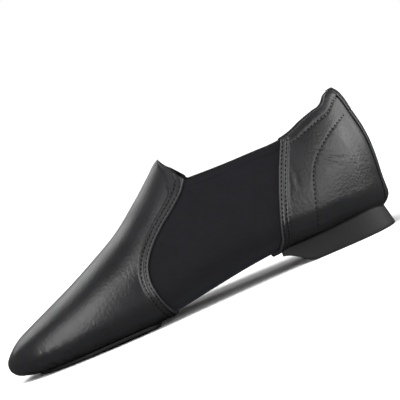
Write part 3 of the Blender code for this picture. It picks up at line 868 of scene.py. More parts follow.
# The vamp: one piece of leather over the toes, its back edge turned in and sewn to the
# stretch panel with two rows.
vamp = {
    "gap": 0.3, "thickness": 1.0, "fold": 0.4, "edgeRadius": 0.8,
    "rows": (1.45, 4.2), "pull": 0.42, "puff": 0.20,
    "pleats": 15, "pleatSpan": 150, "pleatDepth": 1.1, "slitEnd": 152.0,
}
soleSizes = {
    "heelStart": 3.0, "heelLength": 67.0, "heelWidth": 55.0, "heelFlare": 2.2,
    "heelTop": 15.4, "heelFlat": 49.0, "flangeLift": 8.8,
    "patchStart": 149.0, "patchLength": 76.5, "patchWidth": 72.0, "patchThickness": 2.0,
    "tread": 0.45,
}
heelOutlineRows = [
    (0.000, 0.000), (0.020, 0.168), (0.070, 0.297), (0.150, 0.398), (0.260, 0.464),
    (0.400, 0.496), (0.600, 0.500), (0.850, 0.492), (0.965, 0.484), (1.000, 0.462),
]
patchOutlineRows = [
    (0.000, 0.405), (0.020, 0.444), (0.060, 0.480), (0.120, 0.498), (0.220, 0.500),
    (0.400, 0.478), (0.580, 0.428), (0.720, 0.366), (0.840, 0.300), (0.930, 0.222),
    (0.980, 0.130), (1.000, 0.000),
]
rampRows = [(0.00, 0.00), (0.12, 0.05), (0.30, 0.22), (0.56, 0.62), (0.80, 0.90), (1.00, 1.00)]


def soleOutline(rows, start, length, width, roundAtRear, count):
    along = (1 - np.cos(np.linspace(0, math.pi, 160))) / 2
    bend = np.sqrt if roundAtRear else (lambda share: -np.sqrt(1 - share))
    half = curveThrough(rows, along, bend=bend) * width
    x = start + along * length
    centre = middleLine(x / last["length"])
    ring = np.vstack([
        np.stack([x, centre - half], axis=1), np.stack([x, centre + half], axis=1)[::-1]
    ])
    ring = np.vstack([ring, ring[:1]])
    step = np.linalg.norm(np.diff(ring, axis=0), axis=1)
    run = np.concatenate([[0], np.cumsum(step)])
    at = np.linspace(0, run[-1], count)
    return np.stack([np.interp(at, run, ring[:, k]) for k in (0, 1)], axis=1)


patchOutline = soleOutline(
    patchOutlineRows, soleSizes["patchStart"], soleSizes["patchLength"],
    soleSizes["patchWidth"], False, 361,
)


def seamRun(seam, distance):
    rounds = np.linspace(-1, 1, 161)
    line = onLast(atSeam(seam, distance, rounds), rounds)
    step = np.linalg.norm(np.diff(line, axis=0), axis=1)
    return rounds, np.concatenate([[0], np.cumsum(step)])


def sewnBand(distance, run, rows, pull, puff):
    # the leather drawn down by two rows of stitches, and puffed up between them
    pucker = 0.5 + 0.5 * np.cos(2 * math.pi * run / stitch["pitch"])
    low = sum(hump(distance - row, 0.6) for row in rows) * pull * (0.75 + 0.25 * pucker)
    middle = (rows[0] + rows[1]) / 2
    high = hump(distance - middle, 0.85) * puff * (0.6 + 0.4 * pucker)
    edge = hump(distance - rows[0] + 0.95, 0.45) * puff * (0.7 + 0.3 * pucker)
    beyond = hump(distance - rows[1] - 1.2, 0.6) * puff * 0.6 * pucker
    return high + edge + beyond - low


# painted highlight along the turned seam edge, and half as strong along the top edge
def edgeHighlightShare(seam, top):
    return np.clip(hump(np.minimum(seam, 3) - 0.35, 0.5) + 0.5 * hump(np.minimum(top, 3) - 0.3, 0.5), 0, 1)


vampRun = seamRun(vampEdge, 2.8)
vampSlit = float(middlePlace([vamp["slitEnd"]])[0])


def pleatRelief(points):
    # leather gathered round the toe, between the sole's edge and the side of the foot
    flat = points - toOrigin
    centre = soleSizes["patchStart"] + 0.50 * soleSizes["patchLength"]
    angle = np.arctan2(flat[..., 1] + 1.0, flat[..., 0] - centre)
    angle = angle + 0.05 * np.sin(3.1 * angle + 1) + 0.03 * np.sin(7.3 * angle)
    fold = np.abs(np.sin(angle * vamp["pleats"] * 180 / vamp["pleatSpan"])) ** 0.55
    beyond = distanceTo(np.stack([flat[..., 0], flat[..., 1]], axis=-1), patchOutline, 2)
    show = softStep(flat[..., 0], 192, 204) * (1 - softStep(beyond, 7, 14))
    show = show * (1 - softStep(flat[..., 2], 12, 19))
    return show * vamp["pleatDepth"] * (fold - 0.6)


def vampLift(place, round_, points=None):
    seam = fromSeam(vampEdge, place, round_)
    throat = fromTopline(place, round_)
    edge = np.minimum(seam, throat)
    round1 = edgeRound(edge, vamp["edgeRadius"], 0.25)
    fold = np.maximum(1 - softStep(seam, 4.9, 5.7), 1 - softStep(throat, 1.5, 7.0))
    lift = vamp["gap"] + (vamp["thickness"] + vamp["fold"] * fold) * round1
    run = np.interp(round_, *vampRun)
    sewn = softStep(throat, 1, 6) * softStep(seam, 0.1, 0.6)
    lift = lift + sewnBand(seam, run, vamp["rows"], vamp["pull"], vamp["puff"]) * sewn
    across = np.abs(round_) * girthAt(place, round_)
    slit = 1 - softStep(place, vampSlit - 2, vampSlit)
    lift = lift - 0.65 * hump(across, 0.45) * slit + 0.15 * hump(across - 1.3, 0.6) * slit
    if points is not None:
        lift = lift + pleatRelief(points)
    return lift


def makeVamp():
    shares = roundShares(82, edgeShares)
    shares = np.unique(np.concatenate([shares, [-0.010, -0.006, -0.003, 0.003, 0.006, 0.010]]))
    distances = [
        0, 0.06, 0.2, 0.42, 0.75, 1.05, 1.35, 1.65, 2.0, 2.4, 2.8,
        3.2, 3.6, 3.95, 4.3, 4.65, 5.0, 5.35, 5.8, 6.4, 7.2, 8.2,
    ]
    rows = [atSeam(vampEdge, d, shares) for d in distances]
    ahead = np.sin(np.linspace(0, math.pi / 2, 146)[1:])
    rows += [rows[len(distances) - 1] + (last["length"] - rows[len(distances) - 1]) * a for a in ahead]
    place = np.array(rows)
    nearest = int(np.abs(place[:, 0] - peakPlace).argmin())
    count = len(distances)
    ease = np.interp(np.arange(len(place)), (count - 1, nearest, len(place) - 1), (0, 1, 0))
    place = place + ((peakPlace - place[nearest, 0]) * ease)[:, None]
    round_ = np.broadcast_to(shares, place.shape)
    base = onLast(place, round_, 1.0)
    outer = onLast(place, round_, vampLift(place, round_, base))
    inner = onLast(place, round_, vamp["gap"])
    # painted highlight along the seam and the throat
    wearAndEdgeHighlight = edgeHighlightShare(fromSeam(vampEdge, place, round_), fromTopline(place, round_))
    piece = layGrid(outer, inner, wearAndEdgeHighlight=wearAndEdgeHighlight)
    return finishPiece(piece, "vamp_leather", blackLeather, ["vamp"])


makeVamp()
print("vamp made")


def sewSeam(name, seam, distance, lift, low=-0.985, high=0.985, size=None, material=None):
    round_ = np.linspace(low, high, 700)
    place = atSeam(seam, distance, round_)
    height = lift(place, round_)
    size = size or stitch
    return sew(name, pathFrames(place, round_, height, size["pitch"]), material or blackThread, size)


for n, row in enumerate(vamp["rows"]):
    sewSeam(f"vamp_stitches_{n + 1}", vampEdge, row, vampLift, -0.945, 0.945)


# The quarter: leather round the heel, its top and front edges turned in. The counter
# inside is held by one curved row on each side.
quarter = {
    "gap": 0.3, "thickness": 1.0, "fold": 0.4, "edgeRadius": 0.8,
    "rows": (1.5, 3.9), "pull": 0.52, "puff": 0.34, "topRow": 6.0, "topPull": 0.26,
    "counter": [
        (6.2, 68.6), (13.0, 65.6), (19.8, 61.9), (30.2, 53.9),
        (36.2, 45.5), (40.0, 35.0), (43.2, 24.0), (45.7, 16.1),
    ],
    "counterPull": 0.30, "slitStart": 69.0,
}
quarterCreases = [
    ([(31.5, 56.5), (27.5, 53.8), (23.0, 50.2), (18.5, 46.6), (15.0, 44.6)], 1, 0.65, 0.17),
    ([(32.5, 53.2), (28.6, 50.4), (24.4, 46.8), (20.6, 44.4)], 1, 0.70, 0.21),
    ([(33.2, 50.0), (30.0, 47.2), (26.0, 44.6), (22.6, 41.4)], 1, 0.65, 0.16),
    ([(30.6, 58.8), (27.0, 56.6), (24.0, 53.6)], 1, 0.65, 0.14),
    ([(26.4, 52.0), (22.2, 49.4), (19.0, 46.0)], 1, 0.60, 0.16),
    ([(29.4, 49.6), (25.8, 47.2), (22.0, 43.8), (18.0, 42.2)], 1, 0.65, 0.16),
    ([(33.0, 47.2), (30.4, 44.6), (27.6, 42.6)], 1, 0.65, 0.16),
    ([(24.8, 55.6), (21.0, 52.8), (17.4, 50.6)], 1, 0.65, 0.14),
    ([(21.6, 49.8), (18.6, 47.4), (14.6, 46.2)], 1, 0.60, 0.12),
    ([(47.0, 58.0), (45.5, 50.0), (46.5, 40.0)], 1, 1.6, 0.20),
    ([(11.5, 60.0), (9.8, 50.0), (10.0, 40.0)], 1, 1.4, 0.20),
    ([(60, 20), (50, 17), (38, 15.5), (24, 15)], 1, 1.2, 0.26),
    ([(62, 34), (59, 27), (54, 21)], 1, 1.4, 0.18),
    ([(30.0, 52.0), (26.0, 48.4), (20.0, 45.6), (15.0, 44.4)], -1, 0.65, 0.17),
    ([(28.5, 48.0), (24.0, 45.0), (18.5, 42.8)], -1, 0.60, 0.14),
    ([(29.5, 56.0), (25.0, 53.2), (20.0, 51.6)], -1, 0.60, 0.12),
    ([(48.0, 56.0), (46.0, 48.0), (47.0, 38.0)], -1, 1.6, 0.20),
    ([(60, 22), (48, 17.5), (34, 15.5)], -1, 1.3, 0.26),
]
quarterRun = seamRun(quarterEdge, 2.6)
quarterSlit = float(middlePlace([quarter["slitStart"]])[0])
counterLines = {side: onSide(quarter["counter"], side) for side in (1, -1)}
counterPaths = {side: onLast(*counterLines[side], leatherFace) for side in (1, -1)}


def quarterLift(place, round_, points=None):
    seam = fromSeam(quarterEdge, place, round_)
    top = fromTopline(place, round_)
    edge = np.minimum(seam, top)
    round1 = edgeRound(edge, quarter["edgeRadius"], 0.25)
    fold = 1 - softStep(edge, 4.9, 5.7)
    lift = quarter["gap"] + (quarter["thickness"] + quarter["fold"] * fold) * round1
    run = np.interp(round_, *quarterRun)
    sewn = softStep(top, 0.5, 3) * softStep(seam, 0.1, 0.6)
    lift = lift + sewnBand(seam, run, quarter["rows"], quarter["pull"], quarter["puff"]) * sewn
    behind = softStep(seam, 4.5, 6.0)
    lift = lift - quarter["topPull"] * hump(top - quarter["topRow"], 0.55) * behind
    lift = lift + 0.10 * hump(top - quarter["topRow"] + 2.6, 1.5) * behind
    across = np.abs(round_) * girthAt(place, round_)
    slit = softStep(place, quarterSlit, quarterSlit + 2)
    lift = lift - 0.65 * hump(across, 0.45) * slit + 0.15 * hump(across - 1.3, 0.6) * slit
    if points is not None:
        for side in (1, -1):
            near = distanceTo(points, counterPaths[side])
            lift = lift - quarter["counterPull"] * hump(near, 0.6)
        lift = lift + sideCreases(points, quarterCreases) * softStep(edge, 5, 9)
    return lift


def makeQuarter():
    shares = roundShares(120, edgeShares)
    shares = np.unique(np.concatenate([shares, [-0.010, -0.006, -0.003, 0.003, 0.006, 0.010]]))
    distances = [
        0, 0.06, 0.2, 0.42, 0.75, 1.1, 1.4, 1.7, 2.05, 2.4,
        2.75, 3.1, 3.5, 3.9, 4.3, 4.7, 5.1, 5.6, 6.3,
    ]
    rows = [atSeam(quarterEdge, d, shares) for d in distances]
    behind = np.linspace(1, 0, 96)[1:] ** 1.7
    rows += [rows[len(distances) - 1] * a for a in behind]
    place = np.array(rows)[::-1]
    round_ = np.broadcast_to(shares, place.shape)
    base = onLast(place, round_, 1.0)
    outer = onLast(place, round_, quarterLift(place, round_, base))
    inner = onLast(place, round_, quarter["gap"])
    # painted highlight along the seam and the topline
    wearAndEdgeHighlight = edgeHighlightShare(fromSeam(quarterEdge, place, round_), fromTopline(place, round_))
    piece = layGrid(outer, inner, wearAndEdgeHighlight=wearAndEdgeHighlight)
    return finishPiece(piece, "quarter_leather", blackLeather, ["quarter"])


makeQuarter()
for n, row in enumerate(quarter["rows"]):
    sewSeam(f"quarter_stitches_{n + 1}", quarterEdge, row, quarterLift, -0.985, 0.985)


def sewTopline(name, side):
    place = np.linspace(1.6, quarterLine, 400)
    round_ = side * (1 - quarter["topRow"] / girthAt(place, np.full(400, float(side))))
    keep = fromSeam(quarterEdge, place, round_) > 5.0
    place, round_ = place[keep], round_[keep]
    lift = quarterLift(place, round_)
    return sew(name, pathFrames(place, round_, lift, stitch["pitch"]), blackThread)


def sewCounter(name, side):
    place, round_ = counterLines[side]
    base = onLast(place, round_, 1.0)
    lift = quarterLift(place, round_, base)
    return sew(name, pathFrames(place, round_, lift, stitch["pitch"]), blackThread)


for side, word in ((1, "inner"), (-1, "outer")):
    sewTopline(f"topline_stitches_{word}", side)
    sewCounter(f"counter_stitches_{word}", side)
print("quarter made")


# The strip over the back seam, with a row of stitches along each side and a short
# seam across it below the tab.
backStrip = {
    "half": 9.0, "foot": 16.5, "bottom": overLeather, "thickness": 0.7, "edgeRadius": 0.6,
    "row": 7.4, "crossSeam": 69.0, "pull": 0.20,
}


def stripPlace(across, round_):
    # place on the chart at a distance from the middle of the back
    places = np.concatenate([[0], np.geomspace(0.002, 9, 90)])
    share = np.abs(round_).ravel()
    side = np.where(np.asarray(across) < 0, -1, 1).ravel()
    line = onLast(places[:, None], (share * side)[None, :], overLeather) - toOrigin
    gone = np.abs(line[..., 1] - line[:1, :, 1])
    wanted = np.abs(across).ravel()
    out = [np.interp(w, gone[:, n], places) for n, w in enumerate(wanted)]
    return np.array(out).reshape(np.shape(across)), (share * side).reshape(np.shape(across))


def makeBackStrip():
    shares = np.linspace(0, 1, 500)
    heights = onLast(np.zeros(500), shares, overLeather)[:, 2]
    foot = float(np.interp(backStrip["foot"], heights, shares))
    length = heights[-1] - backStrip["foot"]
    down = np.concatenate([
        [0, 0.05, 0.18, 0.35, 0.6, 0.9],
        np.linspace(1.4, length - 1.2, 120),
        length - np.array([0.8, 0.5, 0.25, 0.08, 0]),
    ])
    t = foot + (1 - foot) * down / length
    half = backStrip["half"]
    rim = half - np.array([0.7, 0.5, 0.3, 0.15, 0.05, 0])
    wide = bothWays(np.concatenate([np.linspace(0, half - 0.9, 24), rim]))
    across, height = np.meshgrid(wide, t)
    place, round_ = stripPlace(across, height)
    edge = np.minimum(half - np.abs(across), ((height - foot) / (1 - foot)) * length)
    edge = np.minimum(edge, (1 - height) / (1 - foot) * length)
    z = onLast(place, round_, overLeather)[..., 2]
    lift = backStrip["bottom"] + backStrip["thickness"] * edgeRound(edge, backStrip["edgeRadius"], 0.2)
    pucker = 0.7 + 0.3 * np.cos(2 * math.pi * z / stitch["pitch"])
    lift = lift - backStrip["pull"] * hump(np.abs(across) - backStrip["row"], 0.5) * pucker
    lift = lift - 0.30 * hump(z - backStrip["crossSeam"], 0.45)
    lift = lift + 0.12 * hump(z - backStrip["crossSeam"] - 1.1, 0.8)
    outer = onLast(place, round_, lift)
    inner = onLast(place, round_, backStrip["bottom"])
    piece = layGrid(outer, inner)
    closeUp(piece)
    finishPiece(piece, "back_strip_leather", blackLeather, ["back_strip"])
    for side in (1, -1):
        t = np.linspace(foot + (1 - foot) * 0.02, foot + (1 - foot) * 0.985, 300)
        place, round_ = stripPlace(np.full(300, side * backStrip["row"]), t)
        top = backStrip["bottom"] + backStrip["thickness"] - backStrip["pull"] * 0.85
        frames = pathFrames(place, round_, np.full(300, top), stitch["pitch"])
        sew(f"back_strip_stitches_{'inner' if side > 0 else 'outer'}", frames, blackThread)


makeBackStrip()
print("back strip made")


# The stretch boot: a sock of faced neoprene under both leathers, its top edge turned in
# and stitched, with a joining seam under the foot.
boot = {"wall": 1.0, "edgeRadius": 0.5, "hem": 5.2, "hemPull": 0.55, "seamSlant": 5.5, "seamPull": 0.55}
stretchCreases = [
    ([(92, 62), (96, 50), (104, 40)], 1, 2.4, 0.22),
    ([(74, 30), (82, 24), (92, 20)], 1, 2.6, 0.26),
    ([(112, 34), (118, 26), (126, 20)], 1, 2.6, 0.24),
    ([(70, 60), (74, 48), (80, 38)], -1, 2.6, 0.24),
    ([(96, 34), (104, 26), (114, 20)], -1, 2.6, 0.26),
]


def bootLift(place, round_, points=None):
    top = fromTopline(place, round_)
    lift = -boot["wall"] + boot["wall"] * edgeRound(top, boot["edgeRadius"], 0.3)
    open_ = softStep(place, quarterLine - 4, quarterLine) * (1 - softStep(place, vampLine, vampLine + 4))
    lift = lift - boot["hemPull"] * hump(top - boot["hem"], 0.55) * open_
    lift = lift + 0.22 * hump(top - boot["hem"] + 1.4, 1.1) * open_
    arc = round_ * girthAt(place, round_)
    seamAt = -boot["seamSlant"] * softStep(place, quarterLine, vampLine)
    lift = lift - boot["seamPull"] * hump(arc - seamAt, 0.45) * open_
    lift = lift + 0.14 * hump(np.abs(arc - seamAt) - 1.3, 0.7) * open_
    if points is not None:
        lift = lift + sideCreases(points, stretchCreases) * softStep(top, 4, 12) * open_
    return lift


def makeBoot():
    shares = roundShares(74, edgeShares)
    fine = np.linspace(-0.065, 0.065, 61)
    shares = np.unique(np.round(np.concatenate([shares[np.abs(shares) > 0.066], fine]), 6))
    back = quarterLine * np.linspace(0, 1, 34) ** 1.7
    middle = np.linspace(quarterLine, vampLine, 82)[1:]
    front = vampLine + (last["length"] - vampLine) * np.sin(np.linspace(0, math.pi / 2, 34))[1:]
    places = np.concatenate([back, middle, front])
    place, round_ = np.meshgrid(places, shares, indexing="ij")
    base = onLast(place, round_, 0)
    outer = onLast(place, round_, bootLift(place, round_, base))
    inner = onLast(place, round_, -boot["wall"] - 0.02)
    uv = np.stack([place, round_ * girthAt(place, round_)], axis=-1)
    piece = layGrid(outer, inner, uv)
    return finishPiece(piece, "stretch_boot", stretchKnit, ["upper"])


def makeLining():
    # drill bonded to the inside of the boot, from the edge of the opening down
    shares = roundShares(60, edgeShares)
    back = last["length"] * (1 - np.cos(np.linspace(0, math.pi / 2, 70))) / 2
    places = np.concatenate([back, np.linspace(back[-1], last["length"] * 0.97, 60)[1:]])
    place, round_ = np.meshgrid(places, shares, indexing="ij")
    top = fromTopline(place, round_)
    outer = onLast(place, round_, np.full(place.shape, -boot["wall"] - 0.04))
    lift = -boot["wall"] - 0.04 - 0.42 * edgeRound(top, 0.5, 0.3)
    inner = onLast(place, round_, lift)
    uv = np.stack([place, round_ * girthAt(place, round_)], axis=-1)
    piece = layGrid(outer, inner, uv)
    return finishPiece(piece, "lining_drill", drillLining)


makeBoot()
makeLining()


def sewHem():
    place = np.linspace(quarterLine - 20, vampLine, 600)
    for side, word in ((1, "inner"), (-1, "outer")):
        round_ = side * (1 - boot["hem"] / girthAt(place, np.full(600, float(side))))
        keep = (fromSeam(quarterEdge, place, round_) < -0.8) & (fromSeam(vampEdge, place, round_) < -0.8)
        at, share = place[keep], round_[keep]
        fine = {**stitch, "length": 1.7, "width": 0.42, "height": 0.3, "pitch": 2.1}
        lift = bootLift(at, share) + 0.03
        sew(f"hem_stitches_{word}", pathFrames(at, share, lift, fine["pitch"]), blackThread, fine)


sewHem()


# Grey zigzag that joins each leather's two halves under the foot
def sewZigzag(name, start, end, lift):
    size = {"length": 3.0, "width": 0.5, "height": 0.4, "pitch": 1.5}
    count = int((end - start) / size["pitch"])
    places = middlePlace(np.linspace(start, end, count))
    frames = []
    for k, at in enumerate(places):
        place = np.array([at - 0.4, at, at + 0.4])
        round_ = np.zeros(3)
        point = onLast(place, round_, float(lift(np.array([at]), np.array([0.012]))[0]) + 0.12)
        normal = normalAt(place, round_)[1]
        along = point[2] - point[0]
        along /= np.linalg.norm(along)
        side = np.cross(normal, along)
        turn = side * math.cos(0.5) + along * math.sin(0.5) * (1 if k % 2 else -1)
        frames.append((np.stack([turn, np.cross(normal, turn), normal], axis=1), point[1]))
    return sew(name, frames, greyThread, size)


sewZigzag("quarter_zigzag", 71.0, 77.8, quarterLift)
sewZigzag("vamp_zigzag", 138.5, 148.0, vampLift)
print("boot and lining made")


def ringGrid(outline, levels):
    # rings from the middle out, each a share of the outline round its middle
    centre = np.array([outline[:, 0].mean(), middleLine(outline[:, 0].mean() / last["length"])])
    return np.array([centre + (outline - centre) * s for s in levels])


# The heel: one block of moulded rubber, hollowed under its front and cut to the last
# on top, with a tread of small diamonds.
heel = {"edgeRadius": 0.7, "columns": 181, "diamond": 3.3, "pitch": 4.8, "border": 2.2, "treadEnd": 46.0}


def heelRamp(x):
    along = (x - soleSizes["heelStart"] - soleSizes["heelFlat"]) / (
        soleSizes["heelLength"] - soleSizes["heelFlat"]
    )
    return np.where(along > 0, curveThrough(rampRows, np.clip(along, 0, 1)), 0) * soleSizes["flangeLift"]


def heelOutline(share, count):
    shrink = soleSizes["heelFlare"] * share
    return soleOutline(
        heelOutlineRows, soleSizes["heelStart"] + shrink, soleSizes["heelLength"] - shrink,
        soleSizes["heelWidth"] - 2 * shrink, True, count,
    )


def seatAbove(points):
    # height of the leather over the heel, straight above each point
    places = np.linspace(0.0, 90, 121)
    rounds = np.linspace(-0.6, 0.6, 161)
    place, round_ = np.meshgrid(places, rounds, indexing="ij")
    sheet = onLast(place, round_, 1.62) - toOrigin
    rows, columns = place.shape
    faces = []
    for i in range(rows - 1):
        for j in range(columns - 1):
            k = i * columns + j
            faces.append((k, k + 1, k + columns + 1, k + columns))
    tree = BVHTree.FromPolygons(sheet.reshape(-1, 3).tolist(), faces)
    out = []
    for x, y in points.reshape(-1, 2):
        hit = tree.ray_cast(Vector((x, y, -20)), Vector((0, 0, 1)))[0]
        out.append(min(hit.z, soleSizes["heelTop"]) if hit else soleSizes["heelTop"])
    return np.array(out).reshape(points.shape[:-1])


def makeHeel():
    radius, top = heel["edgeRadius"], soleSizes["heelTop"]
    floorShares = np.concatenate([np.linspace(0, 0.9, 26), [0.93, 0.955, 0.97, 0.98, 0.988, 0.994, 1.0]])
    outline = heelOutline(0, heel["columns"])
    rings = ringGrid(outline, floorShares)
    ramp = heelRamp(rings[..., 0])
    share = ramp / top
    shrunk = heelOutline(1, heel["columns"])
    rings = rings + (ringGrid(shrunk, floorShares) - rings) * share[..., None]
    ramp = heelRamp(rings[..., 0])
    edge = distanceTo(rings, outline, 2)
    edge = np.minimum(edge, 3)
    inset = 1 - np.clip(edge / radius, 0, 1)
    bottom = ramp + radius * (1 - np.sqrt(np.maximum(1 - inset**2, 0)))
    tread = np.clip((edge - 1.6) / 0.5, 0, 1) * (1 - softStep(rings[..., 0], 50.5, 51.5))
    bottom = bottom + soleSizes["tread"] * tread
    floor_ = np.concatenate([rings, bottom[..., None]], axis=-1)
    topRings = ringGrid(shrunk, np.concatenate([[1.0, 0.985, 0.96, 0.92], np.linspace(0.86, 0, 22)]))
    seat = seatAbove(topRings)
    ceiling = np.concatenate([topRings, seat[..., None]], axis=-1)
    wall = []
    for s in np.linspace(0, 1, 9)[1:-1]:
        wall.append(floor_[-1] + (ceiling[0] - floor_[-1]) * s)
    points = np.concatenate([floor_, np.array(wall), ceiling]) + toOrigin
    piece = layGrid(points)
    closeUp(piece)
    return finishPiece(piece, "rubber_heel", soleRubber, ["heel"])


def makeDiamond(size, top, height):
    # a low four-sided point with a cut-off tip, on its corner, facing down
    bpy.ops.object.select_all(action="DESELECT")
    bpy.ops.mesh.primitive_cone_add(
        vertices=4, radius1=size / 2 * mm, radius2=top / 2 * mm, depth=height * mm
    )
    piece = bpy.context.object
    for vert in piece.data.vertices:
        vert.co.z += height * mm / 2
    return piece


def makeHeelTread():
    outline = heelOutline(0, 200)
    outline = outline[outline[:, 0] < 60]
    frames = []
    for i in range(14):
        for j in range(-6, 7):
            x = soleSizes["heelStart"] + 3.4 + i * heel["pitch"]
            y = j * heel["pitch"] + middleLine(x / last["length"])
            spot = np.array([[x, y]])
            half = np.interp(x, *halfWidths(outline)) if x > outline[:, 0].min() else 0
            if x > soleSizes["heelStart"] + heel["treadEnd"]:
                continue
            if abs(j * heel["pitch"]) > half - heel["border"] - 1.2:
                continue
            if distanceTo(spot, outline, 2)[0] < heel["border"] + 1.2:
                continue
            turn = np.diag([1.0, -1.0, -1.0])
            frames.append((turn, np.array([x, y, soleSizes["tread"] + 0.05]) + toOrigin))
    one = makeDiamond(heel["diamond"] * 1.25, heel["diamond"] * 0.45, soleSizes["tread"] + 0.05)
    tread = copiesOf(one, "heel_tread", frames)
    tread.data.shade_flat()
    bpy.data.objects.remove(one)
    return finishPiece(tread, "heel_tread", soleRubber)


def halfWidths(outline):
    x = np.unique(np.round(outline[:, 0], 2))
    wide = [np.ptp(outline[np.abs(outline[:, 0] - v) < 1.5][:, 1]) / 2 for v in x]
    return x, wide


makeHeel()
makeHeelTread()
print("heel made")


# The forefoot sole: a patch of the same rubber, which bends with the foot on the real shoe but is laid here
# unbent on the last, with staggered four-sided points inside a raised border.
patch = {
    "edgeRadius": 0.6, "columns": 241, "border": 2.0,
    "pitchAlong": 4.8, "pitchAcross": 5.0, "point": 4.6,
}


def makePatch():
    outline = soleOutline(
        patchOutlineRows, soleSizes["patchStart"], soleSizes["patchLength"],
        soleSizes["patchWidth"], False, patch["columns"],
    )
    rim = [0.935, 0.945, 0.955, 0.965, 0.975, 0.984, 0.990, 0.995, 1.0]
    shares = np.concatenate([np.linspace(0, 0.92, 30), rim])
    rings = ringGrid(outline, shares)
    place, round_ = underFoot(rings[..., 0], rings[..., 1], overLeather)
    edge = distanceTo(rings, outline, 2)
    full = soleSizes["patchThickness"]
    lift = overLeather + full * edgeRound(edge, patch["edgeRadius"], 0.3)
    well = np.clip((edge - patch["border"]) / 0.5, 0, 1)
    groove = hump(edge - 1.35, 0.25) * 0.3
    lift = lift - soleSizes["tread"] * well - groove
    bottom = onLast(place, round_, lift)
    top = onLast(place, round_, overLeather)
    points = np.concatenate([bottom, top[::-1]])
    piece = layGrid(points)
    closeUp(piece)
    finishPiece(piece, "forefoot_rubber", soleRubber, ["forefoot_sole"])
    x0 = soleSizes["patchStart"] + 3.6
    xs, ys = [], []
    for i in range(34):
        for j in range(-9, 10):
            x = x0 + i * patch["pitchAlong"] / 2
            y = (j + 0.5 * (i % 2)) * patch["pitchAcross"] + middleLine(x / last["length"])
            xs.append(x)
            ys.append(y)
    spots = np.stack([xs, ys], axis=1)
    inside = insideRing(spots, outline) & (distanceTo(spots, outline, 2) > patch["border"] + 2.1)
    spots = spots[inside]
    place, round_ = underFoot(spots[:, 0], spots[:, 1], overLeather)
    base = onLast(place, round_, overLeather + full - soleSizes["tread"] - 0.05)
    normal = normalAt(place, round_)
    frames = []
    for at, up in zip(base, normal):
        along = np.array([1.0, 0, 0])
        along = along - up * (along @ up)
        along /= np.linalg.norm(along)
        frames.append((np.stack([along, np.cross(up, along), up], axis=1), at))
    one = makeDiamond(patch["point"], patch["point"] * 0.28, soleSizes["tread"] + 0.05)
    tread = copiesOf(one, "forefoot_tread", frames)
    tread.data.shade_flat()
    bpy.data.objects.remove(one)
    finishPiece(tread, "forefoot_tread", soleRubber)


def insideRing(spots, ring):
    x, y = spots[:, :1], spots[:, 1:]
    x0, y0 = ring[:-1, 0], ring[:-1, 1]
    x1, y1 = ring[1:, 0], ring[1:, 1]
    crosses = ((y0 > y) != (y1 > y)) & (x < (x1 - x0) * (y - y0) / np.where(y1 == y0, 1e-9, y1 - y0) + x0)
    return crosses.sum(axis=1) % 2 == 1


makePatch()
print("forefoot sole made")


# The insole: cloth-covered foam, glued in along the foot
insole = {"top": 3.8, "bottom": 1.8, "start": 3.6, "end": 232.0}


def makeInsole():
    back = np.linspace(insole["start"], insole["end"], 120)
    shares = np.linspace(-1, 1, 61)
    place, across = np.meshgrid(back, shares, indexing="ij")
    rows = np.abs(across) * 1.5
    inner = crossLines(place, rows, 1)
    outer_ = crossLines(place, rows, -1)
    line = np.where((across > 0)[..., None], inner, outer_)
    around = np.gradient(line, axis=1)
    onward = np.gradient(line, axis=0)
    normal = np.cross(around, onward)
    normal /= np.maximum(np.linalg.norm(normal, axis=2, keepdims=True), 1e-9)
    ends = np.minimum(place - insole["start"], insole["end"] - place)
    edge = np.minimum((1 - np.abs(across)) * 30, ends)
    full = insole["top"] - insole["bottom"]
    lower = line + toOrigin - normal * insole["bottom"]
    lift = insole["bottom"] + full * edgeRound(edge, 1.2, 0.2)[..., None]
    upper = line + toOrigin - normal * lift
    uv = np.stack([place, across * 32], axis=-1)
    piece = layGrid(lower, upper, uv)
    return finishPiece(piece, "insole_cloth", insoleCloth, ["insole"])


makeInsole()
print("insole made")


# A seamless pale floor under soft boxes
studio = {
    "floor": 60.0, "fill": 0.10,
    "azimuth": 182.0, "elevation": 2.2, "roll": -23.6, "lens": 156.0, "distance": 1.0,
    "target": (-0.0184, 0.0020, 0.0560),
}


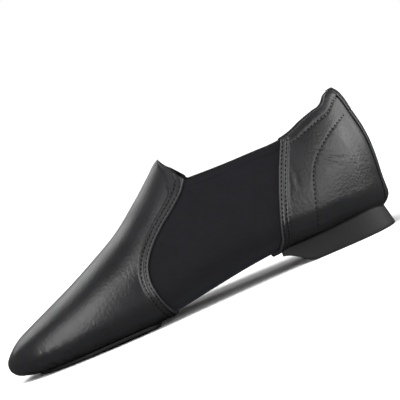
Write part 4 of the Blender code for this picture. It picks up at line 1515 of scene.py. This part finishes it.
def makeStage():
    bpy.ops.object.select_all(action="DESELECT")
    bpy.ops.mesh.primitive_plane_add(size=studio["floor"])
    floor_ = bpy.context.object
    floor_.name = "paper_floor"
    material, tree, shader = newMaterial("white paper")
    shader.inputs["Base Color"].default_value = toLinear("#ffffff")
    shader.inputs["Roughness"].default_value = 0.9
    shader.inputs["Specular IOR Level"].default_value = 0.0
    # painted shade: the gloss mirrors the floor as grey, which darkens the shoe's lower parts, while the
    # camera sees the floor white
    paintedShadeInReflections = addNode(tree, "ShaderNodeBsdfDiffuse", {"Color": toLinear("#38383a")})
    ray = addNode(tree, "ShaderNodeLightPath")
    mix = addNode(
        tree, "ShaderNodeMixShader", None,
        {"Fac": ray.outputs["Is Glossy Ray"], 1: shader.outputs["BSDF"], 2: paintedShadeInReflections.outputs["BSDF"]},
    )
    tree.links.new(mix.outputs["Shader"], tree.nodes["Material Output"].inputs["Surface"])
    floor_.data.materials.append(material)
    world = bpy.data.worlds.new("studio")
    bpy.context.scene.world = world
    world.use_nodes = True
    tree = world.node_tree
    back = tree.nodes["Background"]
    back.inputs["Color"].default_value = (1, 1, 1, 1)
    back.inputs["Strength"].default_value = studio["fill"]
    seen = addNode(tree, "ShaderNodeBackground", {"Color": (1, 1, 1, 1), "Strength": 1.0})
    ray = addNode(tree, "ShaderNodeLightPath")
    mix = addNode(
        tree, "ShaderNodeMixShader", None,
        {"Fac": ray.outputs["Is Camera Ray"], 1: back.outputs["Background"], 2: seen.outputs["Background"]},
    )
    tree.links.new(mix.outputs["Shader"], tree.nodes["World Output"].inputs["Surface"])


def fromDirection(azimuth, elevation, distance):
    a, e = math.radians(azimuth), math.radians(elevation)
    return distance * Vector((math.sin(a) * math.cos(e), -math.cos(a) * math.cos(e), math.sin(e)))


def softBox(name, azimuth, elevation, distance, size, power, toward=(0, 0, 0.04)):
    lamp = bpy.data.lights.new(name, "AREA")
    lamp.shape = "RECTANGLE"
    lamp.size, lamp.size_y = size
    lamp.energy = power
    thing = bpy.data.objects.new(name, lamp)
    bpy.context.collection.objects.link(thing)
    thing.location = fromDirection(azimuth, elevation, distance) + Vector(toward)
    thing.rotation_euler = (Vector(toward) - thing.location).to_track_quat("-Z", "Y").to_euler()
    return thing


def ceilingLight(azimuth, elevation, strength, angle):
    # wide light for the paper and the matt parts, which the gloss doesn't mirror
    lamp = bpy.data.lights.new("ceiling light", "SUN")
    lamp.energy = strength
    lamp.angle = math.radians(angle)
    thing = bpy.data.objects.new("ceiling light", lamp)
    bpy.context.collection.objects.link(thing)
    thing.rotation_euler = (-fromDirection(azimuth, elevation, 1)).to_track_quat("-Z", "Y").to_euler()
    thing.visible_glossy = False
    return thing


def makeCamera():
    back = fromDirection(studio["azimuth"], studio["elevation"], 1)
    lens = bpy.data.cameras.new("camera")
    lens.lens = studio["lens"]
    camera = bpy.data.objects.new("camera", lens)
    bpy.context.collection.objects.link(camera)
    camera.location = Vector(studio["target"]) + back * studio["distance"]
    turn = (-back).to_track_quat("-Z", "Y")
    turn = turn @ Matrix.Rotation(math.radians(studio["roll"]), 4, "Z").to_quaternion()
    camera.rotation_euler = turn.to_euler()
    bpy.context.scene.camera = camera


makeStage()
makeCamera()
ceilingLight(150, 62, 4.0, 50)
softBox("key box", 137, 23, 1.1, (0.6, 1.6), 14.0)
softBox("side box", 228, 11, 1.2, (1.7, 0.6), 10.5)
softBox("back box", 276, 12, 1.1, (1.0, 0.8), 8.0)
softBox("rim box", 22, 31, 1.2, (1.0, 0.6), 3.2)
bpy.context.scene.view_settings.view_transform = "Standard"
